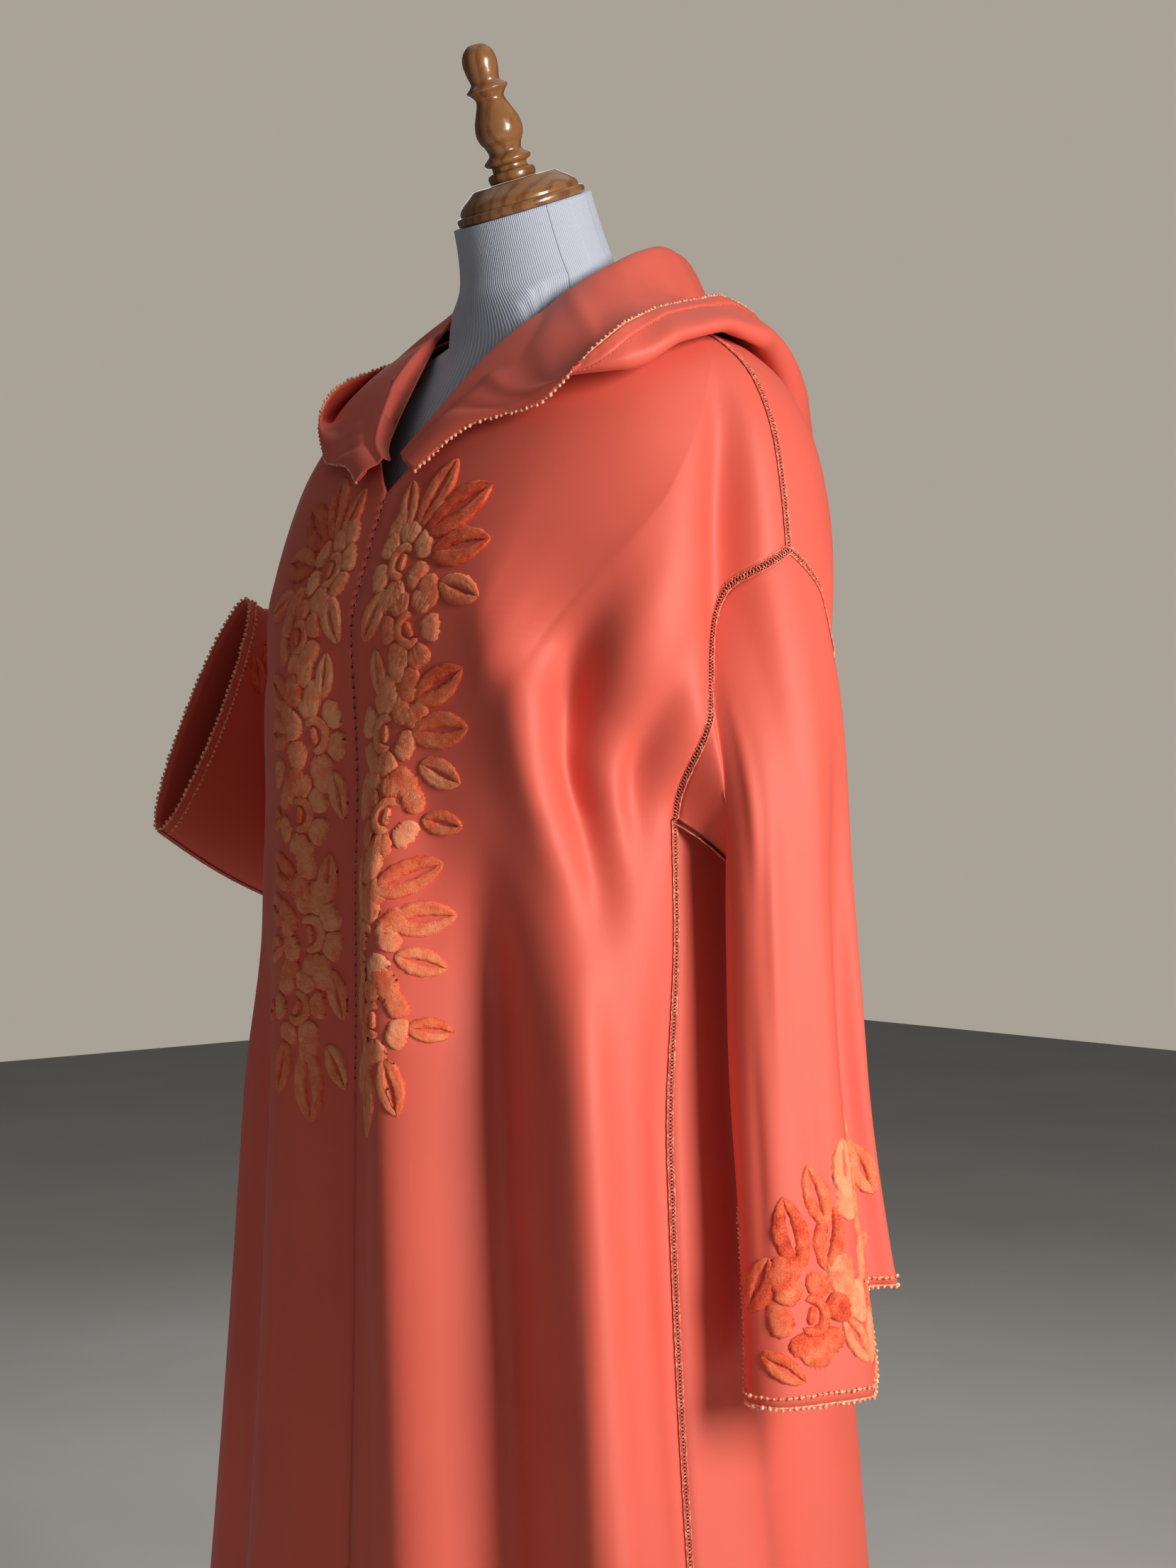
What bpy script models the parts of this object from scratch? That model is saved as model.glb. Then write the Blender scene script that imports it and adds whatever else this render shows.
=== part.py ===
# A hooded robe (djellaba) worn by a limbless dress form on a post and a round base.
# Metres, +Z up, the front faces -Y, +X is the wearer's left, the origin is under the base.
# The robe's pieces are thin walls whose points come from a few tables of sections and folds.

import math

import bpy
import numpy as np
from mathutils import Vector
from mathutils.bvhtree import BVHTree
from mathutils.geometry import delaunay_2d_cdt

# Driving sizes
CLOTH_THICKNESS = 0.0011
SEAM_GAP = 0.0009
HEM_HEIGHT = 0.045
UNDERARM_HEIGHT = 1.060
NECK_SIDE_HEIGHT = 1.430
V_HEIGHT = 1.288
SQUARENESS = 2.3
ARMHOLE_FRONT = (90, 80, 76, 73, 70)
ARMHOLE_BACK = (90, 79, 75, 78, 84)
ARMHOLE_DOWN = (0, 0.15, 0.36, 0.64, 1)

# Grid counts for each quarter of the robe
COLUMNS = 13
NECK_COLUMNS = 5
UPPER_ROWS = 10
LOWER_ROWS = 15
SLEEVE_ROWS = 13
HOOD_PROFILE_STEPS = 11
HOOD_HALF_STEPS = 15


def table(columns, *rows):
    """Named columns from rows of numbers, the first column rising."""
    ordered = np.array(sorted(rows), float)
    return dict(zip(columns.split(), ordered.T))


def through(x, y, at):
    """A monotone cubic through the points (x, y), read at the places in at."""
    x, y, at = np.asarray(x, float), np.asarray(y, float), np.asarray(at, float)
    step = np.diff(x)
    slope = np.diff(y) / step
    tangent = np.zeros(len(x))
    tangent[0], tangent[-1] = slope[0], slope[-1]
    for k in range(1, len(x) - 1):
        if slope[k - 1] * slope[k] > 0:
            tangent[k] = 2 / (1 / slope[k - 1] + 1 / slope[k])
    place = np.clip(at, x[0], x[-1])
    k = np.clip(np.searchsorted(x, place, side="right") - 1, 0, len(step) - 1)
    t = (place - x[k]) / step[k]
    start = y[k] * (1 + 2 * t) * (1 - t) ** 2 + tangent[k] * step[k] * t * (1 - t) ** 2
    end = y[k + 1] * t * t * (3 - 2 * t) + tangent[k + 1] * step[k] * t * t * (t - 1)
    return start + end


def smooth(t):
    t = np.clip(t, 0, 1)
    return t * t * (3 - 2 * t)


# Horizontal sections of the robe above the underarm, sleeves' tops included
SHOULDERS = table(
    "height half_width ridge_y front back",
    (1.430, 0.070, 0.005, 0.030, 0.066),
    (1.412, 0.122, 0.008, 0.066, 0.074),
    (1.390, 0.172, 0.010, 0.093, 0.090),
    (1.360, 0.205, 0.010, 0.118, 0.110),
    (1.310, 0.228, 0.008, 0.146, 0.132),
    (1.241, 0.240, 0.006, 0.170, 0.144),
    (1.190, 0.246, 0.002, 0.182, 0.148),
    (1.120, 0.252, -0.002, 0.182, 0.148),
    (1.060, 0.256, -0.006, 0.178, 0.148),
)

# Horizontal sections of the robe's body from the underarm to the hem
SKIRT = table(
    "height half_width ridge_y front back",
    (1.300, 0.196, -0.060, 0.114, 0.190),
    (1.060, 0.203, -0.064, 0.112, 0.206),
    (0.900, 0.214, -0.070, 0.108, 0.232),
    (0.700, 0.231, -0.075, 0.107, 0.256),
    (0.500, 0.252, -0.078, 0.110, 0.270),
    (0.250, 0.280, -0.082, 0.124, 0.290),
    (0.045, 0.304, -0.085, 0.140, 0.306),
)

# Folds of the hanging cloth: where each starts and ends, in degrees round from the centre
# front (negative on the wearer's right) and in height, with its rise and its half-spread
FOLDS = (
    dict(top=(0, 1.25), foot=(0, 0.045), rise=-0.007, spread=(7, 7)),
    dict(top=(16, 1.26), foot=(18, 0.045), rise=0.013, spread=(9, 10)),
    dict(top=(46, 1.02), foot=(42, 0.045), rise=-0.024, spread=(12, 12)),
    dict(top=(66, 0.98), foot=(64, 0.045), rise=0.018, spread=(11, 10)),
    dict(top=(30, 1.235), foot=(78, 0.99), rise=0.016, spread=(9, 10)),
    dict(top=(44, 1.225), foot=(86, 1.045), rise=-0.026, spread=(9, 9)),
    dict(top=(60, 1.345), foot=(84, 1.06), rise=0.010, spread=(8, 8)),
    dict(top=(71, 1.345), foot=(86, 1.10), rise=-0.024, spread=(6, 7)),
    dict(top=(112, 1.02), foot=(114, 0.045), rise=-0.020, spread=(10, 9)),
    dict(top=(134, 1.20), foot=(134, 0.045), rise=0.020, spread=(10, 11)),
    dict(top=(155, 1.10), foot=(157, 0.045), rise=-0.018, spread=(10, 9)),
    dict(top=(180, 1.16), foot=(180, 0.045), rise=0.014, spread=(10, 9)),
    dict(top=(-16, 1.26), foot=(-20, 0.045), rise=0.011, spread=(9, 10)),
    dict(top=(-44, 1.02), foot=(-42, 0.045), rise=-0.016, spread=(11, 11)),
    dict(top=(-68, 1.00), foot=(-68, 0.045), rise=0.012, spread=(11, 10)),
    dict(top=(-38, 1.225), foot=(-86, 1.045), rise=-0.018, spread=(9, 9)),
    dict(top=(-74, 1.345), foot=(-90, 1.10), rise=-0.022, spread=(5, 6)),
    dict(top=(-115, 1.05), foot=(-113, 0.045), rise=-0.018, spread=(10, 9)),
    dict(top=(-136, 1.18), foot=(-138, 0.045), rise=0.018, spread=(10, 11)),
    dict(top=(-158, 1.10), foot=(-158, 0.045), rise=-0.015, spread=(10, 9)),
)
FOLD_FADE = 0.16

# The front neckline: how far round it is at each height
NECKLINE = table(
    "height angle",
    (1.288, 0.0),
    (1.330, 6.6),
    (1.385, 16.0),
    (1.420, 42.0),
    (1.430, 90.0),
)


def section(sections, angle, height):
    """Points at angles round (0 the centre front, 180 the centre back, negative to the right)."""
    turn = np.radians(angle)
    power = 2 / SQUARENESS
    across = np.sign(np.sin(turn)) * np.abs(np.sin(turn)) ** power
    ahead = np.sign(np.cos(turn)) * np.abs(np.cos(turn)) ** power
    half_width = through(sections["height"], sections["half_width"], height)
    ridge_y = through(sections["height"], sections["ridge_y"], height)
    front = through(sections["height"], sections["front"], height)
    back = through(sections["height"], sections["back"], height)
    depth = np.where(ahead > 0, front, back)
    return np.stack([half_width * across, ridge_y - depth * ahead, height + 0 * turn], -1)


def fold_rise(angle, height):
    """How far the folds lift the cloth at an angle round and a height."""
    rise = np.zeros(np.broadcast(angle, height).shape)
    for fold in FOLDS:
        (top_angle, top_height), (foot_angle, foot_height) = fold["top"], fold["foot"]
        along = (height - foot_height) / (top_height - foot_height)
        centre = foot_angle + (top_angle - foot_angle) * np.clip(along, 0, 1)
        spread = fold["spread"][1] + (fold["spread"][0] - fold["spread"][1]) * np.clip(along, 0, 1)
        fade = min(FOLD_FADE, 0.6 * (top_height - foot_height))
        strength = smooth((top_height - height) / fade)
        if foot_height > HEM_HEIGHT:
            strength = strength * smooth((height - foot_height + 0.4 * fade) / fade)
        away = (angle - centre + 180) % 360 - 180
        rise = rise + fold["rise"] * strength * np.exp(-((away / spread) ** 2))
    return rise


def outward(angle):
    turn = np.radians(angle)
    return np.stack([np.sin(turn), -np.cos(turn), 0 * turn], -1)


def body_ring(angle, height):
    """The robe's body below the underarm, folds included."""
    return section(SKIRT, angle, height) + fold_rise(angle, height)[..., None] * outward(angle)


def shoulder_ring(angle, height):
    """The robe and the sleeves' tops above the underarm, folds included."""
    near_ridge = smooth(np.abs(90 - np.abs(angle)) / 10)
    lift = fold_rise(angle, height) * near_ridge * smooth((1.40 - height) / 0.06)
    return section(SHOULDERS, angle, height) + lift[..., None] * outward(angle)


def upper_panel(side, back):
    """Grid of points of one quarter of the robe above the underarm: rows down, columns outwards."""
    across = np.linspace(0, 1, COLUMNS + 1)[None, :]
    down = np.linspace(0, 1, UPPER_ROWS + 1)[:, None]
    neck_share = NECK_COLUMNS / COLUMNS
    along_neck = np.clip(across / neck_share, 0, 1)
    along_shoulder = np.clip((across - neck_share) / (1 - neck_share), 0, 1)
    shoulder_height = through([0, 0.25, 0.45, 0.62, 1], [1.430, 1.405, 1.375, 1.335, 1.241],
                              along_shoulder)
    if back:
        neck_height = NECK_SIDE_HEIGHT + 0 * along_neck
        neck_angle = 90 * along_neck
    else:
        neck_height = through([0, 0.35, 0.75, 1], [V_HEIGHT, 1.338, 1.405, NECK_SIDE_HEIGHT],
                              along_neck)
        neck_angle = through(NECKLINE["height"], NECKLINE["angle"], neck_height)
    on_neck = across <= neck_share + 1e-9
    top_height = np.where(on_neck, neck_height, shoulder_height)
    top_angle = np.where(on_neck, neck_angle, 90.0)
    edge_angle = through(ARMHOLE_DOWN, ARMHOLE_BACK if back else ARMHOLE_FRONT, down)
    angle = (1 - down) * (top_angle - across * 90) + across * edge_angle
    height = (1 - down) * top_height + down * UNDERARM_HEIGHT
    settle = smooth((down - 0.40) / 0.60)
    settle = settle + (smooth((down - 0.60) / 0.40) - settle) * across**6
    facing = 180 - angle if back else angle
    ring_angle = 90 * across
    ring_facing = 180 - ring_angle if back else ring_angle
    loose = shoulder_ring(side * facing, height)
    hanging = body_ring(side * (ring_facing + 0 * height), height + 0 * ring_angle)
    return loose * (1 - settle[..., None]) + hanging * settle[..., None]


def lower_panel(side, back):
    """Grid of one quarter of the robe from the underarm to the hem."""
    angle = np.linspace(0, 90, COLUMNS + 1)[None, :]
    if back:
        angle = 180 - angle
    drop = np.linspace(0, 1, LOWER_ROWS + 1)[:, None]
    height = UNDERARM_HEIGHT + (HEM_HEIGHT - UNDERARM_HEIGHT) * drop
    return body_ring(side * (angle + 0 * height), height + 0 * angle)


def quarter(side, back):
    """One quarter of the robe, from the neckline and shoulder to the hem."""
    return np.concatenate([upper_panel(side, back), lower_panel(side, back)[1:]])


def armhole_loop(side):
    """The closed armhole seam: down the front from the drop point, up the back to it."""
    front = upper_panel(side, False)[:, -1]
    back = upper_panel(side, True)[:, -1]
    return np.concatenate([front, back[-2:0:-1]])


# The left sleeve hangs: its sections at each height
HANGING_SLEEVE = table(
    "height x y half_x half_y",
    (1.160, 0.243, -0.004, 0.029, 0.058),
    (1.050, 0.249, -0.004, 0.026, 0.051),
    (0.900, 0.256, 0.000, 0.027, 0.054),
    (0.780, 0.266, 0.006, 0.028, 0.062),
    (0.680, 0.276, 0.012, 0.029, 0.074),
)
CUFF_FRONT_HEIGHT = 0.688
CUFF_BACK_HEIGHT = 0.748
UNDERARM_BULGE = 0.014
CREASE_TURN = 5.75
CREASE_DEPTH = 0.020
RIDGE_RISE = 0.006
LEFT_SETTLE = 0.30


def hanging_ring(turn, height, share):
    """A ring of the left sleeve at the given heights, its crease growing with the share."""
    x, y, half_x, half_y = (through(HANGING_SLEEVE["height"], HANGING_SLEEVE[name], height)
                            for name in ("x", "y", "half_x", "half_y"))
    round_x = np.sign(np.cos(turn)) * np.abs(np.cos(turn)) ** 0.8
    round_y = np.sign(np.sin(turn)) * np.abs(np.sin(turn)) ** 0.8
    crease = np.exp(-(((turn - CREASE_TURN) / 0.38) ** 2)) * smooth(share * 1.4) * CREASE_DEPTH
    from_ridge = np.minimum(turn, 2 * np.pi - turn)
    ridge = np.exp(-((from_ridge / 0.30) ** 2)) * smooth(share * 3) * RIDGE_RISE
    return np.stack([x + half_x * round_x - crease + ridge, y - half_y * round_y, height], -1)


def left_sleeve():
    """Rows from the armhole to the cuff, columns round from the outer line by the front."""
    loop = armhole_loop(1)
    turn = 2 * np.pi * np.arange(len(loop)) / len(loop)
    behind = smooth((turn - 2.4) / 1.4) * smooth((2 * np.pi - turn) / 0.55)
    cuff_height = CUFF_FRONT_HEIGHT + (CUFF_BACK_HEIGHT - CUFF_FRONT_HEIGHT) * behind
    apart = loop - hanging_ring(turn, loop[:, 2], 0)
    rows = []
    for share in np.linspace(0, 1, SLEEVE_ROWS + 1):
        height = loop[:, 2] + (cuff_height - loop[:, 2]) * share
        settle = 1 - max(1 - share / LEFT_SETTLE, 0) ** 2
        ring = hanging_ring(turn, height, share) + apart * (1 - settle)
        ring[:, 0] += UNDERARM_BULGE * 4 * settle * (1 - settle) * np.maximum(-np.cos(turn), 0)
        rows.append(ring)
    return np.array(rows)


# The right sleeve is propped up: stations along it, seen from above, with the heights
# of its upper and lower lines
PROPPED_SLEEVE = table(
    "share x y top bottom half_thickness",
    (0.00, -0.238, 0.004, 1.241, 1.060, 0.060),
    (0.10, -0.266, 0.016, 1.222, 1.022, 0.046),
    (0.22, -0.292, 0.056, 1.190, 0.975, 0.034),
    (0.34, -0.316, 0.106, 1.162, 0.944, 0.026),
    (0.46, -0.342, 0.143, 1.145, 0.930, 0.018),
    (0.58, -0.368, 0.134, 1.152, 0.936, 0.017),
    (0.72, -0.372, 0.087, 1.180, 0.960, 0.019),
    (0.86, -0.362, 0.004, 1.212, 1.000, 0.020),
    (1.00, -0.346, -0.076, 1.240, 1.046, 0.021),
)
CUFF_LEAN = 0.085
SLEEVE_REST = 0.0030
RIGHT_SETTLE = 0.34


def right_sleeve():
    """Rows from the armhole to the cuff, columns round from the upper line by the front."""
    loop = armhole_loop(-1)
    turn = 2 * np.pi * np.arange(len(loop)) / len(loop)
    shares = np.linspace(0, 1, SLEEVE_ROWS + 1)
    path = {name: through(PROPPED_SLEEVE["share"], values, shares)
            for name, values in PROPPED_SLEEVE.items()}
    heading = np.stack([np.gradient(path["x"]), np.gradient(path["y"])], -1)
    heading /= np.linalg.norm(heading, axis=1)[:, None]
    rows = []
    for k, share in enumerate(shares):
        beside = np.sin(turn) * path["half_thickness"][k]
        rise = np.cos(turn)
        lean = CUFF_LEAN * smooth((share - 0.6) / 0.4) * rise / 2
        middle = (path["top"][k] + path["bottom"][k]) / 2
        rows.append(np.stack([
            path["x"][k] - heading[k, 1] * beside,
            path["y"][k] + heading[k, 0] * beside + lean,
            middle + (path["top"][k] - path["bottom"][k]) / 2 * rise,
        ], -1))
    apart = loop - rows[0]
    settle = 1 - np.maximum(1 - shares / RIGHT_SETTLE, 0) ** 1.5
    return np.array([row + apart * (1 - part) for row, part in zip(rows, settle)])


# The hood lies back. Each station, from the V (0) round to the centre back (1), gives the
# neck crest, the middle, the lowest roll, the outer side and the free edge of its profile
HOOD = (
    dict(at=0.00, crest=(0.004, -0.1460, 1.3040), middle=(0.009, -0.1510, 1.3000),
         roll=(0.014, -0.1550, 1.2960), outer=(0.018, -0.1570, 1.2920), edge=(0.022, -0.1580, 1.2880)),
    dict(at=0.16, crest=(0.030, -0.1200, 1.3400), middle=(0.044, -0.1320, 1.3380),
         roll=(0.058, -0.1350, 1.3340), outer=(0.068, -0.1345, 1.3320), edge=(0.079, -0.1320, 1.3300)),
    dict(at=0.28, crest=(0.050, -0.0830, 1.3840), middle=(0.074, -0.1050, 1.3680),
         roll=(0.096, -0.1170, 1.3490), outer=(0.111, -0.1195, 1.3430), edge=(0.124, -0.1180, 1.3380)),
    dict(at=0.36, crest=(0.063, -0.0470, 1.4250), middle=(0.096, -0.0780, 1.3950),
         roll=(0.130, -0.1050, 1.3590), outer=(0.146, -0.1110, 1.3550), edge=(0.158, -0.1090, 1.3620)),
    dict(at=0.44, crest=(0.070, -0.0240, 1.4430), middle=(0.110, -0.0480, 1.4110),
         roll=(0.168, -0.0820, 1.3600), outer=(0.184, -0.0860, 1.3650), edge=(0.172, -0.0860, 1.3860)),
    dict(at=0.50, crest=(0.073, 0.0020, 1.4560), middle=(0.112, -0.0150, 1.4260),
         roll=(0.180, -0.0370, 1.3830), outer=(0.192, -0.0370, 1.3900), edge=(0.162, -0.0340, 1.4090)),
    dict(at=0.58, crest=(0.067, 0.0340, 1.4700), middle=(0.110, 0.0200, 1.4310),
         roll=(0.178, 0.0090, 1.3930), outer=(0.188, 0.0110, 1.4020), edge=(0.154, 0.0040, 1.4200)),
    dict(at=0.66, crest=(0.058, 0.0580, 1.4770), middle=(0.104, 0.0540, 1.4290),
         roll=(0.162, 0.0600, 1.3900), outer=(0.174, 0.0630, 1.4010), edge=(0.143, 0.0420, 1.4290)),
    dict(at=0.76, crest=(0.044, 0.0880, 1.4790), middle=(0.088, 0.1040, 1.4080),
         roll=(0.124, 0.1290, 1.3300), outer=(0.139, 0.1350, 1.3700), edge=(0.109, 0.1090, 1.4300)),
    dict(at=0.90, crest=(0.020, 0.1080, 1.4805), middle=(0.045, 0.1300, 1.3800),
         roll=(0.062, 0.1560, 1.2300), outer=(0.080, 0.1900, 1.3200), edge=(0.052, 0.1580, 1.4260)),
    dict(at=1.00, crest=(0.000, 0.1120, 1.4810), middle=(0.000, 0.1340, 1.3700),
         roll=(0.000, 0.1620, 1.1900), outer=(0.000, 0.2020, 1.3050), edge=(0.000, 0.1720, 1.4240)),
)
HOOD_START = 0.04
HOOD_REST = 0.0060
HOOD_LIP = 0.004
HOOD_SEAM_GAP = 0.0009
HOOD_SLUMP_END = 0.43
HOOD_LIP_START = 0.31
HOOD_RIGHT_REACH = 0.72
HOOD_RIGHT_DROP = 0.016
HOOD_RIGHT_FORWARD = 0.008


def neckline_curve(side, back, shares):
    """Points on the neckline of the panels, from the V (or the centre back) to the neck side."""
    if back:
        height = NECK_SIDE_HEIGHT + 0 * shares
        angle = 180 - 90 * shares
    else:
        height = through([0, 0.35, 0.75, 1], [V_HEIGHT, 1.338, 1.405, NECK_SIDE_HEIGHT], shares)
        angle = through(NECKLINE["height"], NECKLINE["angle"], height)
    return shoulder_ring(side * angle, height)


def hood_half(side):
    """Rows round the neck from the V to the centre back, columns from the seam to the edge."""
    stations = [row["at"] for row in HOOD]
    rows = []
    for share in np.linspace(HOOD_START, 1, HOOD_HALF_STEPS + 1):
        if share < 0.5:
            seam = neckline_curve(side, False, np.array([share * 2]))[0]
        else:
            seam = neckline_curve(side, True, np.array([2 - share * 2]))[0]
        seam = seam + np.array([0, 0, HOOD_SEAM_GAP])
        profile = [seam]
        for name in ("crest", "middle", "roll", "outer", "edge"):
            columns = np.array([row[name] for row in HOOD])
            point = np.array([through(stations, columns[:, k], share) for k in range(3)])
            profile.append(point)
        profile = np.array(profile)
        profile[0, 0] *= side
        if side < 0:
            shrink = HOOD_RIGHT_REACH + (1 - HOOD_RIGHT_REACH) * smooth((share - 0.40) / 0.25)
            slump = smooth(share / 0.2) * smooth((HOOD_SLUMP_END - share) / 0.2)
            profile[2:, 0] = profile[1, 0] + (profile[2:, 0] - profile[1, 0]) * shrink
            profile[1:, 1] -= HOOD_RIGHT_FORWARD * slump
            profile[1:, 2] -= HOOD_RIGHT_DROP * slump
        onward = profile[1] - profile[2]
        lip = profile[1] + onward / np.linalg.norm(onward) * HOOD_LIP
        profile[0] = lip + (profile[0] - lip) * smooth((share - HOOD_LIP_START) / 0.19)
        profile[:, 0] *= side
        knots = np.array([0, 0.12, 0.38, 0.62, 0.80, 1.0])
        spots = np.linspace(0, 1, HOOD_PROFILE_STEPS + 1)
        rows.append(np.stack([smooth_spline(knots, profile[:, k], spots) for k in range(3)], -1))
    return np.array(rows)


def smooth_spline(knots, values, at):
    """A Catmull-Rom curve through the values at the knots."""
    tangent = np.gradient(values, knots)
    k = np.clip(np.searchsorted(knots, at, side="right") - 1, 0, len(knots) - 2)
    step = knots[k + 1] - knots[k]
    t = (at - knots[k]) / step
    return (values[k] * (1 + 2 * t) * (1 - t) ** 2 + tangent[k] * step * t * (1 - t) ** 2
            + values[k + 1] * t * t * (3 - 2 * t) + tangent[k + 1] * step * t * t * (t - 1))


def panel_tree(pieces):
    """A search tree of the body panels' outer faces."""
    start, points, triangles = 0, [], []
    for name in ("front_left", "front_right", "back"):
        panel = pieces[name]["grid"]
        points.append(panel.reshape(-1, 3))
        triangles.append(cell_triangles(*panel.shape[:2]) + start)
        start += len(points[-1])
    return BVHTree.FromPolygons(np.concatenate(points).tolist(),
                                np.concatenate(triangles).tolist())


def height_over(tree, point):
    """A point's height over the nearest face, that face's outward way, and how far it is."""
    nearest, facing, _, distance = tree.find_nearest(Vector(point))
    return (Vector(point) - nearest).dot(facing), np.array(facing), distance


def keep_off(grid, tree):
    """Push a sleeve's rows below its seam off the panels they hang against."""
    for row in grid[1:]:
        for point in row:
            height, facing, distance = height_over(tree, point)
            if height < SLEEVE_REST and distance < 0.02 and distance - abs(height) < 0.0005:
                point += facing * (SLEEVE_REST - height)


def hood_grid(tree):
    """The whole hood, from the V by the left, round the back, to the V by the right."""
    left, right = hood_half(1), hood_half(-1)
    grid = np.concatenate([left, right[-2::-1]])
    for row in grid:
        for point in row[1:]:
            height, facing, _ = height_over(tree, point)
            if height < HOOD_REST:
                point += facing * (HOOD_REST - height)
    return grid


# Raised velvet flowers and leaves, laid out flat on each panel: how far each stands from the
# centre front (or from the sleeve's outer line, minus to its back), its height (or its
# distance up from the cuff), its length and its turn
FLOWER_RISE = 0.0022
FLOWER_EDGE = 0.0016
FLOWER_ROWS = 15
FLOWER_COLUMNS = 9
FLOWER_CUFF_ROWS = 7

FRONT_ROSES = table(
    "height across size",
    (1.235, 0.043, 0.025),
    (1.188, 0.062, 0.024),
    (1.118, 0.041, 0.026),
    (1.062, 0.056, 0.024),
    (0.978, 0.046, 0.026),
    (0.926, 0.058, 0.024),
)
FRONT_LEAVES = table(
    "height across length turn",
    (1.283, 0.062, 0.044, 66),
    (1.270, 0.086, 0.050, 32),
    (1.243, 0.095, 0.044, 8),
    (1.213, 0.104, 0.034, -18),
    (1.276, 0.034, 0.032, 104),
    (1.199, 0.024, 0.034, 240),
    (1.160, 0.030, 0.028, 100),
    (1.150, 0.088, 0.042, 25),
    (1.120, 0.090, 0.042, 2),
    (1.091, 0.092, 0.032, -22),
    (1.076, 0.020, 0.030, 255),
    (1.058, 0.098, 0.028, -10),
    (1.022, 0.080, 0.042, 22),
    (0.994, 0.092, 0.040, 6),
    (0.965, 0.092, 0.032, -14),
    (1.018, 0.030, 0.030, 96),
    (0.936, 0.020, 0.032, 250),
    (0.920, 0.100, 0.028, -6),
    (0.882, 0.074, 0.034, 286),
    (0.872, 0.046, 0.046, 264),
    (0.886, 0.020, 0.030, 238),
)
CUFF_ROSES = table(
    "up around size",
    (0.058, 0.040, 0.023),
    (0.060, -0.042, 0.023),
)
CUFF_LEAVES = table(
    "up around length turn",
    (0.108, 0.048, 0.042, 82),
    (0.104, 0.020, 0.036, 104),
    (0.112, -0.048, 0.042, 98),
    (0.106, -0.020, 0.036, 76),
    (0.038, 0.008, 0.030, 62),
    (0.034, -0.014, 0.030, 118),
    (0.024, 0.064, 0.028, 215),
    (0.026, -0.068, 0.028, 325),
    (0.146, 0.002, 0.036, 90),
)


def rose_outline(across, up, size):
    turn = np.linspace(0, 2 * np.pi, 15, endpoint=False)
    radius = size * (0.84 + 0.16 * np.cos(5 * turn))
    return np.stack([across + radius * np.cos(turn), up + radius * np.sin(turn)], -1)


def leaf_outline(across, up, length, degrees):
    along = np.array([-0.5, -0.28, 0.02, 0.28, 0.5, 0.28, 0.02, -0.28]) * length
    beside = np.array([0.0, -0.16, -0.21, -0.13, 0.0, 0.13, 0.21, 0.16]) * length
    turn = math.radians(degrees)
    return np.stack([
        across + along * math.cos(turn) - beside * math.sin(turn),
        up + along * math.sin(turn) + beside * math.cos(turn),
    ], -1)


def drawn_in(outline, amount):
    """The same outline moved in towards its middle."""
    middle = outline.mean(0)
    arm = outline - middle
    reach = np.linalg.norm(arm, axis=1)[:, None]
    return middle + arm * (1 - amount / reach)


def depth_inside(outline, points):
    """How far each point lies inside the outline, less than zero outside."""
    start, end = outline, np.roll(outline, -1, 0)
    edge = end - start
    from_start = points[:, None] - start[None]
    share = np.clip((from_start * edge).sum(-1) / (edge**2).sum(-1), 0, 1)
    distance = np.linalg.norm(from_start - share[..., None] * edge, axis=-1).min(1)
    above = (start[None, :, 1] > points[:, None, 1]) != (end[None, :, 1] > points[:, None, 1])
    rise = np.where(edge[:, 1] == 0, 1e-12, edge[:, 1])
    crossing = start[:, 0] + (points[:, None, 1] - start[:, 1]) / rise * edge[:, 0]
    inside = (above & (points[:, None, 0] < crossing)).sum(1) % 2 == 1
    return np.where(inside, distance, -distance)


def rows_of(named):
    return zip(*named.values())


def front_motifs():
    outlines = [rose_outline(across, up, size) for up, across, size in rows_of(FRONT_ROSES)]
    for up, across, length, turn in rows_of(FRONT_LEAVES):
        outlines.append(leaf_outline(across, up, length, turn))
    return outlines


def cuff_motifs():
    outlines = [rose_outline(around, up, size) for up, around, size in rows_of(CUFF_ROSES)]
    for up, around, length, turn in rows_of(CUFF_LEAVES):
        outlines.append(leaf_outline(around, up, length, turn))
    return outlines


def front_flat(grid):
    """Flat coordinates of a front panel: distance round from the centre front, and height."""
    steps = np.linalg.norm(np.diff(grid[..., :2], axis=1), axis=-1)
    around = np.concatenate([np.zeros((len(grid), 1)), np.cumsum(steps, axis=1)], axis=1)
    return np.stack([around, grid[..., 2]], -1)


def sleeve_flat(grid):
    """Flat coordinates of an opened sleeve: distance round from its outer line, and up it."""
    steps = np.linalg.norm(np.diff(grid, axis=1), axis=-1)
    around = np.concatenate([np.zeros((len(grid), 1)), np.cumsum(steps, axis=1)], axis=1)
    around = around - around[:, grid.shape[1] // 2][:, None]
    steps = np.linalg.norm(np.diff(grid[::-1], axis=0), axis=-1)
    up = np.concatenate([np.zeros((1, grid.shape[1])), np.cumsum(steps, axis=0)])[::-1]
    return np.stack([around, up], -1)


def corner_numbers(rows, columns):
    """Four corner numbers of each cell of a grid numbered along its rows."""
    row, column = np.mgrid[0:rows - 1, 0:columns - 1]
    corner = (row * columns + column).ravel()
    return corner, corner + columns, corner + columns + 1, corner + 1


def cell_triangles(rows, columns):
    corner, below, opposite, beside = corner_numbers(rows, columns)
    return np.concatenate([
        np.stack([corner, below, opposite], -1),
        np.stack([corner, opposite, beside], -1),
    ])


def opened(grid):
    """A tube's columns from its underarm line right round to the same line again."""
    count = grid.shape[1]
    return grid[:, (np.arange(count + 1) + count // 2) % count]


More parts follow.
